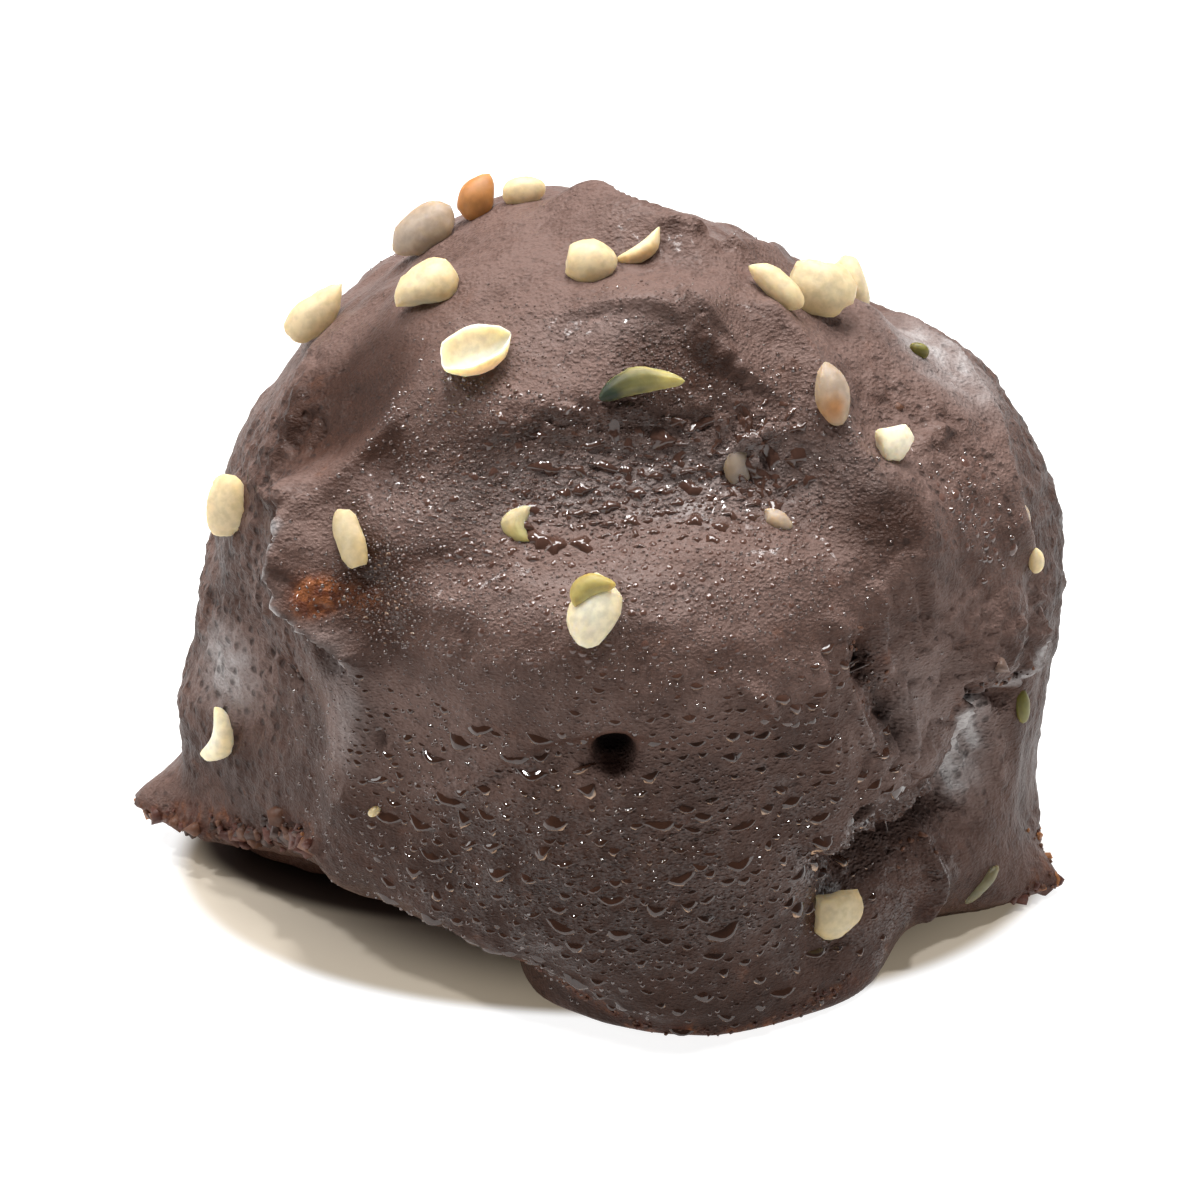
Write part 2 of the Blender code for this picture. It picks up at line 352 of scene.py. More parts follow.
def fine_copy(solid):
    """The solid's shape as a new object with fine, even faces."""
    mesh = solid.data.copy()
    shape = bmesh.new()
    shape.from_mesh(mesh)
    bmesh.ops.remove_doubles(shape, verts=shape.verts, dist=MERGE_DISTANCE)
    bmesh.ops.join_triangles(shape, faces=shape.faces, angle_face_threshold=PAIRING_BEND,
                             angle_shape_threshold=PAIRING_SKEW)
    shape.to_mesh(mesh)
    shape.free()
    rounded = bpy.data.objects.new("rounded", mesh)
    bpy.context.collection.objects.link(rounded)
    subdivide = rounded.modifiers.new("subdivide", "SUBSURF")
    subdivide.levels = SUBDIVISIONS
    subdivide.render_levels = SUBDIVISIONS
    remesh = rounded.modifiers.new("remesh", "REMESH")
    remesh.mode = "VOXEL"
    remesh.voxel_size = COAT_VOXEL
    smooth = rounded.modifiers.new("smooth", "SMOOTH")
    smooth.iterations = SMOOTHING_STEPS
    evaluated = rounded.evaluated_get(bpy.context.evaluated_depsgraph_get())
    fine = bpy.data.meshes.new_from_object(evaluated)
    bpy.data.objects.remove(rounded, do_unlink=True)
    coat = bpy.data.objects.new("coat", fine)
    bpy.context.collection.objects.link(coat)
    return coat


def read(mesh, what):
    """Three numbers for each point of a mesh, as an array."""
    values = np.empty(3 * len(mesh.vertices))
    mesh.vertices.foreach_get(what, values)
    return values.reshape(-1, 3)


def write_points(mesh, points):
    mesh.vertices.foreach_set("co", points.ravel())
    mesh.update()


coat = fine_copy(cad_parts["truffle"])
print("coat:", len(coat.data.vertices), "points,", len(coat.data.polygons), "faces")

# %% [markdown]
# ## Relief of the coat
# Chocolate sets with soft, broad waves where it ran and with sharp little steps where it broke or
# folded. The broad forms are in the solid. These are the finer ones: the step beside the crest, the
# flap on the nose, pits, ribs and drips. They could be sculpted by hand, but a list can be read and
# corrected. Each is one line of it. A step rises at once on one side of its path and fades slowly on
# the other.

# %% Relief of the coat
# name: azimuth, elevation, across, up, turn, height in mm, flatness
COAT_LUMPS = {
    "wet_plate": (20, 62, 7, 3.5, -20, -0.12, 2.0),
    "round_hollow": (-43, 41, 6, 5, 0, -0.45, 1.2),
    "caramel_bump": (-45, 21, 3.0, 2.6, 0, 0.35, 1.5),
    "beside_caramel": (-37, 24, 3.5, 3.5, 0, -0.35, 1.2),
    "left_crater": (-56, 3, 2.4, 1.8, 0, -0.5, 1.8),
    "left_pit": (-35, 1.5, 0.8, 1.6, 20, -0.25, 1.5),
    "groove_pit": (40, 14, 1.5, 3.2, -12, -0.7, 1.4),
    "groove_pit_low": (44.5, 5, 1.7, 3.0, -12, -0.7, 1.4),
    "groove_pit_side": (46.5, 1, 1.2, 1.8, -10, -0.6, 1.6),
    "small_oval_pit": (39, -9.5, 1.7, 1.3, 20, -0.7, 1.5),
    "nose_blob": (62, 5, 1.1, 1.1, 0, 0.4, 2.0),
    "seed_bed": (36, -25, 5, 5, 0, -0.5, 1.5),
    "slope_bump": (70, 35, 4.0, 1.3, -15, 0.35, 1.5),
    "shelf_dip": (-24, 30, 6, 4, 0, -0.3, 1.3),
}
# name: path, height in mm, reach to the left, reach to the right
COAT_STROKES = {
    "plate_step": ([(6, 69), (14, 68.5), (21, 67), (28, 65)], 0.45, 5.0, 0.6),
    "crest_step": ([(28, 65.5), (27.5, 62.5), (30, 59.5), (35, 57)], 0.6, 5.0, 0.6),
    "crest_step_ragged": ([(30, 64), (29.5, 61), (33, 58)], 0.15, 1.4, 0.5),
    "scarp": ([(-20, 51), (-15, 53), (-7, 54.5), (5, 55), (10, 56), (18, 55)], 0.2, 4.0, 0.6),
    "hollow_border": ([(33, 56), (33, 52), (38, 49), (44, 45), (49, 40)], 0.12, 4.0, 1.0),
    "hollow_fold": ([(38, 48.5), (33, 48.5), (29, 47.5)], 0.35, 1.2, 0.6),
    "nose_flap": ([(-57, 31), (-54, 29), (-52, 26), (-51, 21), (-49.5, 18), (-46.5, 17), (-43, 16),
                   (-39, 14)], 1.0, 3.0, 0.6),
    "nose_shadow": ([(-59, 29), (-55, 24), (-53.5, 18), (-49.5, 14.8), (-43, 13.2)], -0.9, 0.8, 2.6),
    "second_flap": ([(-72, 27), (-66, 27.5), (-60, 30)], 0.3, 2.0, 0.8),
    "upper_left_line": ([(-56, 31), (-53, 31.5), (-51, 35), (-50, 41), (-45, 47)], 0.25, 2.2, 1.2),
    "left_line": ([(-81, 43), (-75, 39), (-72, 34)], 0.25, 1.2, 2.0),
    "front_left_rib": ([(-39, 12), (-39, 6), (-41, 0), (-39.5, -6), (-42, -11)], 0.2, 2.5, 5.0),
    "brow": ([(-24, -5), (-19, -2), (-14, 4), (-8, 7.5), (-2, 10), (4, 10.5), (9, 9)], 0.25, 2.5, 0.8),
    "crest_edge": ([(56, 62), (56, 55), (50, 47), (51, 39), (50, 34)], 0.25, 1.5, 1.5),
    "lobe_edge": ([(109, 39), (93, 33), (86, 29), (78, 24), (75, 18), (79, 10), (79, 1), (78, -2),
                   (74, -5)], 0.6, 0.9, 3.0),
    "nose_underside": ([(60, 1), (64, -2.5), (69, -3.5), (74, -6.5)], -1.0, 1.5, 1.0),
    "drip_one": ([(60, 0), (62, -5), (66, -12), (66, -17)], 0.5, 1.1, 1.1),
    "drip_two": ([(70, -5), (72, -11), (72, -17)], 0.25, 1.6, 1.1),
    "ledge_edge": ([(20, 14), (24, 10), (29, 8), (32, 11), (32, 15)], 0.3, 1.8, 0.6),
    "rib_left_of_groove": ([(36, 20), (36, 12), (40, 4), (42, -3)], 0.3, 1.2, 1.8),
    "rib_right_of_groove": ([(44, 22), (44, 13), (48, 5), (49, -2)], 0.3, 1.2, 1.5),
    "thin_groove": ([(50, 21), (50.5, 17), (51, 14)], -0.25, 0.7, 0.7),
    "cave_lip": ([(32, -12), (38, -14), (44, -17), (51, -17), (56, -15.5), (62, -17)], 0.5, 2.2, 0.6),
    "cave_roof": ([(32, -15), (38, -17), (44, -19.5), (51, -19.5), (58, -18.5), (63, -19.5)],
                  -0.9, 0.7, 2.2),
    "cave_wall": ([(56, -20), (56, -26), (54, -30)], 0.5, 1.4, 1.0),
    "top_step": ([(-178, 84), (125, 87), (82, 85), (74, 79)], 0.8, 0.6, 6.0),
    "top_fold": ([(60, 80), (72, 76), (77, 73)], 0.4, 1.8, 0.6),
    "top_step_far": ([(84, 72), (100, 66), (118, 60)], 0.5, 1.2, 3.0),
    "toe_edge": ([(-22, -27), (-12, -29), (-4, -31), (4, -32), (14, -33), (26, -32), (38, -31)],
                 0.2, 2.5, 0.8),
}
print("relief:", len(COAT_LUMPS), "lumps and", len(COAT_STROKES), "strokes")

# %% [markdown]
# ## Torn edges, streaks and creases
# A torn edge isn't higher than what is round it but rougher, so it gets crumbly noise along its path.
# Steep walls have upright streaks where the coat ran, and some places are creased like skin on warm
# milk. The lip and a toe end in thin points, which are pulled out of the coat. Faint waves of three
# sizes lie over everything.

# %% Torn edges, streaks and creases
# name: path, height of the noise in mm, reach
TORN_EDGES = {
    "nose": ([(-60, 29), (-55, 28), (-52, 22), (-48, 16.5), (-40, 13)], 0.4, 2.2),
    "crest_step": ([(26, 66), (28, 62.5), (31, 59.5), (36, 56.5)], 0.35, 1.6),
    "hollow_top": ([(-15, 53), (-5, 54.5), (10, 55), (24, 53), (33, 52), (38, 48), (33, 45)], 0.4, 2.5),
    "cave": ([(30, -12), (38, -14), (44, -17), (51, -18), (56, -16), (62, -18)], 0.4, 2.5),
    "cave_inside": ([(40, -20), (50, -22), (58, -22)], 0.35, 4.0),
    "right_nose": ([(60, 0), (64, -2), (69, -3), (76, -4), (79, 2), (77, 10)], 0.45, 2.2),
    "right_nose_face": ([(62, 10), (68, 6), (72, 2)], 0.3, 4.5),
    "groove": ([(38, 18), (40, 12), (44, 6), (46, 0), (48, -6)], 0.3, 2.5),
    "below_groove": ([(50, -2), (55, -8), (60, -12)], 0.18, 4.0),
    "lip": ([(-92, -28), (-80, -29), (-66, -27), (-55, -22.5), (-47, -21)], 0.4, 2.5),
    "right_toe": ([(70, -32), (78, -30), (86, -28)], 0.35, 2.5),
    "toe": ([(-20, -28), (-5, -31), (15, -33), (35, -32)], 0.15, 2.0),
    "ledge": ([(20, 12), (27, 8), (33, 12)], 0.2, 1.6),
    "left_rib": ([(-42, 14), (-41, 4), (-43, -8)], 0.15, 3.0),
    "crater": ([(-58, 3), (-54, 3)], 0.3, 2.0),
    "caramel": ([(-46.5, 21.5), (-42.5, 21)], 0.3, 2.2),
    "upper_left": ([(-88, 44), (-74, 38), (-66, 31)], 0.16, 6.0),
    "hollow_floor": ([(-10, 47), (8, 48), (24, 47), (34, 45)], 0.18, 6.0),
    "top_fold": ([(58, 80), (72, 75), (76, 70)], 0.2, 2.0),
}
TORN_SIZE = 0.55
# name: azimuth, elevation, across, up, turn, strength, flatness
STREAK_PLACES = {
    "left_face": (-78, 8, 26, 34, 0, 1.0, 2.5),
    "right_slope": (62, 36, 20, 22, 0, 0.45, 2.0),
    "far_side": (120, 5, 40, 34, 0, 0.8, 2.5),
    "drips": (66, -10, 9, 14, 0, 0.8, 2.0),
}
STREAK_SIZE = 0.55
STREAK_STRETCH = 1.2
STREAK_HEIGHT = 0.2
# name: direction, pull in mm, reach in mm
PULLS = {
    "lip_tip": ((-91, -27), (-0.9, 0.0, 0.0), 1.3),
    "right_toe_tip": ((79, -31), (0.7, -0.2, 0.0), 1.0),
}
# size in mm, height in mm, seed
WAVES = ((5.0, 0.25, 1), (2.2, 0.16, 2), (0.9, 0.06, 3))
# name: azimuth, elevation, across, up, turn, strength, flatness
CREASED_PLACES = {
    "right_wall": (52, 4, 16, 18, 0, 1.0, 1.5),
    "left_valley": (-72, 36, 12, 9, 20, 1.0, 1.5),
    "left_face": (-66, 4, 14, 14, 0, 0.7, 1.5),
    "right_slope": (66, 38, 12, 10, 0, 0.6, 1.5),
    "crest": (26, 70, 24, 8, 0, 0.5, 1.5),
    "back": (170, 15, 40, 30, 0, 0.5, 1.5),
}
CREASE_SIZE = 2.4
CREASE_DEPTH = 0.28
CREASE_SHARPNESS = 7.0
# The relief fades out towards the table, so that the foot stays flat.
RELIEF_FADE = 2.5 * MM
print("torn edges:", len(TORN_EDGES), "and creased places:", len(CREASED_PLACES))

# %% [markdown]
# ## Carving
# Now every line of those lists is worked out for each point of the coat, all heights are added up, and
# each point moves along its own direction from the heart by its sum. A point hardly moves sideways,
# except where a tip is pulled out, so faces hardly ever cross.

# %% Carving


def from_heart(points):
    """Unit vectors from the heart to the points."""
    outward = points - np.array(HEART)
    return outward / np.linalg.norm(outward, axis=1, keepdims=True)


def painted(places, spots):
    """Adds up painted spots, from their azimuth, elevation, across, up, turn, strength, flatness."""
    mask = np.zeros(len(places))
    for azimuth, elevation, across, up, turn, strength, flatness in spots.values():
        mask += strength * dab(places, azimuth, elevation, across, up, turn, flatness)
    return mask


def pulled(points, where, pull, reach):
    """Draws the points near a direction's place on the coat along a vector, most at the place."""
    nearest = points[np.argmax(from_heart(points) @ direction(*where))]
    share = np.exp(-((np.linalg.norm(points - nearest, axis=1) / reach) ** 2))
    return points + share[:, None] * np.array(pull)


def carve(mesh):
    """Moves the points of the coat away from the heart by all the relief."""
    points = read(mesh, "co")
    for where, pull, reach in PULLS.values():
        points = pulled(points, where, np.array(pull) * MM, reach * MM)
    places = from_heart(points)
    height = np.zeros(len(points))
    height += painted(places, COAT_LUMPS)
    for path, depth, left, right in COAT_STROKES.values():
        height += depth * stroke(places, path, left, right)
    crumbling = clouds(points, TORN_SIZE * MM, 4)
    for path, depth, reach in TORN_EDGES.values():
        height += depth * crumbling * stroke(places, path, reach, reach)
    upright = clouds(points * (1, 1, 1 / STREAK_STRETCH), STREAK_SIZE * MM, 7)
    height += STREAK_HEIGHT * upright * painted(places, STREAK_PLACES)
    valley = np.maximum(1 - CREASE_SHARPNESS * np.abs(clouds(points, CREASE_SIZE * MM, 8)), 0)
    height -= CREASE_DEPTH * valley**1.5 * painted(places, CREASED_PLACES)
    for size, depth, seed in WAVES:
        height += depth * clouds(points, size * MM, seed)
    fade = np.clip(points[:, 2] / RELIEF_FADE, 0, 1)
    points += places * (height * fade * MM)[:, None]
    points[:, 2] = np.maximum(points[:, 2], 0)
    write_points(mesh, points)


carve(coat.data)
coat.data.shade_smooth()
print("top of the coat in mm", round(read(coat.data, "co")[:, 2].max() / MM, 2))

# %% [markdown]
# ## Where the coat is wet, filmed, streaked or broken, and where light and shade are painted
# A shader can only vary a finish if it knows where it is. Blender carries such knowledge as point
# attributes: one number for each point of the mesh, painted here with the same two brushes as the
# relief. Beads too fine to see one by one lie like a grey film on whatever faces up, so that mask
# starts from the way the surface faces; it is also painted light, lighter where the surface faces up,
# and its places paint lighter and darker patches. The painted shade mask darkens the colour where
# shade falls, and the pit mask paints shade into pits, grooves, the cave and the bubble. Bloom is the
# pale, dry film on old chocolate, and here it also paints highlights: the white edges of the drips,
# the nose flap and the left face.

# %% Places of each finish, and of painted light and shade
# name: azimuth, elevation, across, up, turn, strength, flatness
WET_PLACES = {
    "hollow": (2, 48, 30, 7.5, 0, 1.0, 2.0),
    "hollow_right": (36, 42, 12, 11, 30, 0.9, 1.5),
    "plate": (20, 61, 9, 5, -20, 0.8, 1.5),
    "behind_nose": (-37, 25, 8, 8, 20, 0.8, 1.5),
    "hollow_left": (-27, 42, 9, 7, 0, 0.5, 1.5),
    "front": (2, -12, 42, 19, 0, 0.55, 2.0),
    "cave": (46, -22, 16, 10, 0, 0.8, 1.5),
    "groove": (42, 8, 4, 12, 0, 0.6, 1.5),
    "back_low": (-165, -8, 34, 14, 0, 0.5, 2.0),
}
# The film also paints light: each place lightens the colour, or darkens it where its strength is below 0;
# the nose rim and the drips get painted highlights.
FILM_AND_LIGHT_PLACES = {
    "shelf": (2, 31, 30, 5, 0, 0.7, 1.5),
    "slope": (-8, 64, 26, 7, 0, 0.3, 1.5),
    "left_face": (-72, 6, 9, 14, 0, 0.45, 1.5),
    "left_rib": (-43, 5, 3.5, 12, 0, 0.9, 1.5),
    "drips": (67, -10, 6.5, 9, 0, 1.6, 1.5),
    "cave_lip": (33, -13, 4, 5, 0, 0.5, 1.5),
    "hollow": (4, 45, 34, 8, 0, 1.0, 2.0),
    "hollow_right": (38, 42, 9, 11, 30, 0.8, 1.5),
    "plate": (20, 61, 9, 4, -20, -0.5, 1.5),
    "upper_left_valley": (-66, 42, 12, 9, 25, -0.9, 1.5),
    "round_hollow": (-43, 41, 6, 5, 0, -0.4, 1.2),
    "behind_nose": (-36, 26, 8, 9, 20, -0.7, 1.5),
    "upper_front": (0, 6, 45, 10, 0, 0.3, 1.5),
    "right_wall": (52, 6, 14, 16, 0, 0.45, 1.5),
    "far_lobe": (94, 38, 10, 11, 30, 1.0, 1.5),
    "left_front": (-28, 2, 13, 14, 0, 0.5, 1.5),
    "right_front": (22, -14, 12, 13, 0, 0.4, 1.5),
    "right_low": (50, 0, 14, 14, 0, 0.5, 1.5),
    "crest": (8, 69, 18, 6, 0, 0.5, 1.5),
    "shoulder": (0, 14, 34, 6, 0, 0.3, 1.5),
    "lobe_edge": (77, 14, 3, 14, 0, 0.6, 1.5),
    "nose_rim": (-51, 18.5, 1.6, 3.0, -30, 1.5, 1.5),
    "left_middle": (-76, -6, 9, 7, 0, 1.0, 1.5),
    "top": (-60, 62, 20, 9, 0, -0.25, 1.5),
}
FILLING_PLACES = {
    "nose": (-44, 21, 3.0, 2.8, 30, 1.1, 2.0),
    "lip": (-84, -28.5, 12, 2.4, 0, 0.9, 2.0),
    "lip_corner": (-56, -22.5, 7, 3.0, 20, 1.0, 2.0),
    "right_toe": (78, -31, 6, 2.5, 0, 0.9, 2.0),
    "groove": (42, 10, 3, 9, -12, 0.35, 1.5),
    "right_nose": (66, 0, 8, 3.5, 0, 0.4, 1.5),
    "toe": (14, -36, 30, 1.6, 0, 1.0, 1.5),
}
CARAMEL_PLACES = {
    "nose": (-44.5, 21.5, 3.0, 2.8, 30, 1.2, 2.0),
    "beside_seed": (-39, 23, 2.6, 1.8, 0, 0.6, 1.5),
    "lip_tip": (-91, -29, 5, 2.0, 0, 0.8, 1.5),
}
# Painted shade: each place darkens the colour where shade falls, such as the low front, the foot and under
# the steps.
PAINTED_SHADE_PLACES = {
    "front_low": (-6, -21, 22, 11, 0, 1.0, 1.2),
    "front": (4, -17, 46, 16, 0, 0.3, 1.5),
    "foot": (0, -34, 24, 5, 0, 1.0, 1.5),
    "right_shelf": (49, 31, 6, 5, 0, 1.0, 1.5),
    "left_dark_valley": (-68, 38, 9, 6, 30, 0.7, 1.5),
    "left_low": (-72, -17, 9, 7, 0, 0.6, 1.5),
    "left_up": (-82, 12, 9, 8, 0, 0.4, 1.5),
    "far_side": (100, 0, 14, 30, 0, 0.5, 1.5),
    "upper_left": (-62, 50, 10, 9, 0, 1.3, 1.5),
    "shelf_left": (-24, 33, 6, 5, 0, 0.35, 1.5),
    "crest_flank": (22, 62, 8, 5, 0, 0.3, 1.5),
    "under_scarp": (-8, 51.5, 12, 1.6, 0, 0.4, 1.5),
    "under_plate": (20, 54, 11, 2.0, 0, 0.4, 1.5),
    "hollow_end": (-27, 43, 5, 5, 0, 0.6, 1.5),
    "behind_nose": (-37, 26, 5, 6, 0, 0.5, 1.5),
}
# A painted shadow on the left face beside the nose flap.
# name: path, strength, reach
PAINTED_SHADE_STROKES = {
    "beside_nose": ([(-61, 28), (-57.5, 22), (-55, 16), (-50, 12.5), (-45, 11)], 0.8, 2.6),
}
# Bloom and painted highlights: a pale, dry film and white highlights on the drips, the nose rim and the
# left face.
# name: azimuth, elevation, across, up, turn, strength, flatness
BLOOM_AND_HIGHLIGHT_PLACES = {
    "drips": (66, -10, 4.5, 7.5, 0, 0.7, 1.5),
    "left_high": (-86, 12, 6, 5, 0, 0.15, 1.5),
    "left_middle": (-78, -5, 7, 6, 0, 0.55, 1.5),
    "far_lobe": (94, 38, 9, 10, 0, 0.5, 1.5),
    "hollow": (8, 46, 28, 6, 0, 0.2, 1.5),
    "crest": (-2, 67, 12, 4, 0, 0.05, 1.5),
    "shelf": (0, 29, 16, 4, 0, 0.06, 1.5),
    "right_low": (50, 2, 8, 8, 0, 0.1, 1.5),
}
# name: path, strength, reach
BLOOM_AND_HIGHLIGHT_STROKES = {
    "nose_rim": ([(-53, 28), (-52.5, 25), (-51.4, 21), (-50, 18), (-47, 16.6), (-43.5, 15.6)], 1.4, 0.55),
    "rib": ([(-42, 14), (-40, 6), (-41, -2)], 0.22, 3.0),
    "nose_edge": ([(79, 0), (75, -3), (69, -4), (62, -2)], 0.8, 0.6),
    "drip_one": ([(60, -2), (62, -6), (64, -12), (64, -17)], 1.2, 0.9),
    "drip_two": ([(66, -4), (69, -9), (70, -13)], 0.9, 0.6),
}

# Painted shade in pits, grooves, the cave, under the nose and beside its flap.
# name: path, strength, reach
PIT_SHADE_STROKES = {
    "groove": ([(40, 15), (42, 10), (44.5, 4), (45, 0)], 0.55, 1.2),
    "oval_pit": ([(38.5, -9.5), (40, -9.5)], 0.8, 1.2),
    "cave": ([(33, -16), (38, -18), (44, -20.5), (52, -20), (60, -19)], 0.5, 2.0),
    "nose_underside": ([(60, 1), (64, -2.5), (70, -4)], 0.8, 1.0),
    "nose_shadow": ([(-59, 29), (-54.8, 24), (-53.2, 18)], 0.9, 1.0),
    "crater": ([(-57, 3), (-55, 3)], 0.4, 1.4),
    "left_pit": ([(-35, 2), (-35, 0)], 0.5, 0.7),
}
# azimuth, elevation, across, up
BUBBLE_MOUTH = (2, 7, 2.9, 2.3)
BUBBLE_EDGE = 6.0
print("wet places", len(WET_PLACES), "filmed places", len(FILM_AND_LIGHT_PLACES), "dark places", len(PAINTED_SHADE_PLACES))

# %% [markdown]
# ## Painting the masks
# Each list becomes one attribute. A little noise goes into some of them, because water and film end in
# ragged borders. The film gets most of its strength from how much the surface faces up, and so paints
# light from above.

# %% Painting the masks
# How much film lies everywhere, and how much more on what faces up, which paints light from above.
FILM_ALL_OVER = 0.1
FILM_AND_LIGHT_ON_TOP = 0.95


def store(mesh, name, mask):
    """Keeps a mask on the mesh, cut to the range from 0 to 1."""
    attribute = mesh.attributes.new(name, "FLOAT", "POINT")
    attribute.data.foreach_set("value", np.clip(mask, 0, 1).astype(np.float32))
    print("mask", name, "covers", round(100 * float(np.mean(np.clip(mask, 0, 1)))), "%")


def drawn(places, strokes):
    """Adds up soft lines, from their path, strength and reach."""
    return sum(strength * stroke(places, path, reach, reach) for path, strength, reach in strokes.values())


def paint_masks(mesh):
    points = read(mesh, "co")
    places = from_heart(points)
    upness = np.array([corner.vector.z for corner in mesh.vertex_normals])
    ragged = clouds(points, 3.0 * MM, 11)
    store(mesh, "wet", painted(places, WET_PLACES) + 0.25 * ragged)
    # Painted light: the film grows where the surface faces up, so up-facing places are lighter.
    film_and_top_light = FILM_AND_LIGHT_ON_TOP * upness + FILM_ALL_OVER
    store(mesh, "film_and_painted_light", film_and_top_light + painted(places, FILM_AND_LIGHT_PLACES) + 0.15 * ragged)
    crumbling = clouds(points, 1.2 * MM, 12)
    store(mesh, "filling", painted(places, FILLING_PLACES) + 0.5 * crumbling - 0.2)
    store(mesh, "caramel", painted(places, CARAMEL_PLACES))
    # Painted shade, darker where shade falls.
    store(mesh, "painted_shade", drawn(places, PAINTED_SHADE_STROKES) + painted(places, PAINTED_SHADE_PLACES))
    store(mesh, "streak", painted(places, STREAK_PLACES))
    # Painted shade in pits, grooves, the cave and the bubble's mouth.
    store(mesh, "pit_shade", drawn(places, PIT_SHADE_STROKES) + dab(places, *BUBBLE_MOUTH, 0, BUBBLE_EDGE))
    # Bloom, and painted highlights on the drips, the nose rim and the left face.
    bloom_and_highlight = drawn(places, BLOOM_AND_HIGHLIGHT_STROKES) + painted(places, BLOOM_AND_HIGHLIGHT_PLACES)
    store(mesh, "bloom_and_highlight", bloom_and_highlight * (1 + 0.8 * clouds(points, 0.8 * MM, 13)))


paint_masks(coat.data)

# %% [markdown]
# ## Dark chocolate
# Dark chocolate is a deep red brown with a soft sheen. Its colour hardly changes; what changes is how
# it shines. So the base stays near one brown, greyed where the film of tiny beads scatters light, which
# also paints sheen and light from above into the colour. Painted shade deepens it where shade falls and
# in pits, and painted highlights whiten the drips and rims. One bump makes the grain: round beads,
# grains of two sizes and small dimples. A second gloss layer, the coat weight, stands for the water.

# %% Dark chocolate
BROWN_DEEP = (0.046, 0.020, 0.013)
BROWN_WARM = (0.078, 0.036, 0.024)
# The film's colour, which also paints sheen and light from above.
BROWN_FILM_AND_SHEEN = (0.150, 0.094, 0.078)
# The darkest brown, for the grain and for painted shade.
BROWN_GRAIN_AND_SHADE = (0.028, 0.011, 0.006)
# Pale bloom, which also paints highlights.
BLOOM_AND_HIGHLIGHT = (0.42, 0.39, 0.38)
CARAMEL = (0.22, 0.072, 0.024)
CARAMEL_DEEP = (0.085, 0.022, 0.008)
TORN_BROWN = (0.075, 0.026, 0.016)
# Black for painted shade in pits, and for the dark dot on a seed.
PIT_SHADE_AND_DOT_BLACK = (0.012, 0.007, 0.006)
BEAD_SIZE = 0.24 * MM
DIMPLE_SIZE = 0.5 * MM
GRAIN_STRENGTH = 0.9
GRAIN_HEIGHT = 0.15 * MM
# How much the dry coat mirrors, how smooth its wet layer is, and how strongly water bends light.
DRY_SHINE = 0.14
WET_ROUGHNESS = 0.1
WATER_BENDING = 1.33


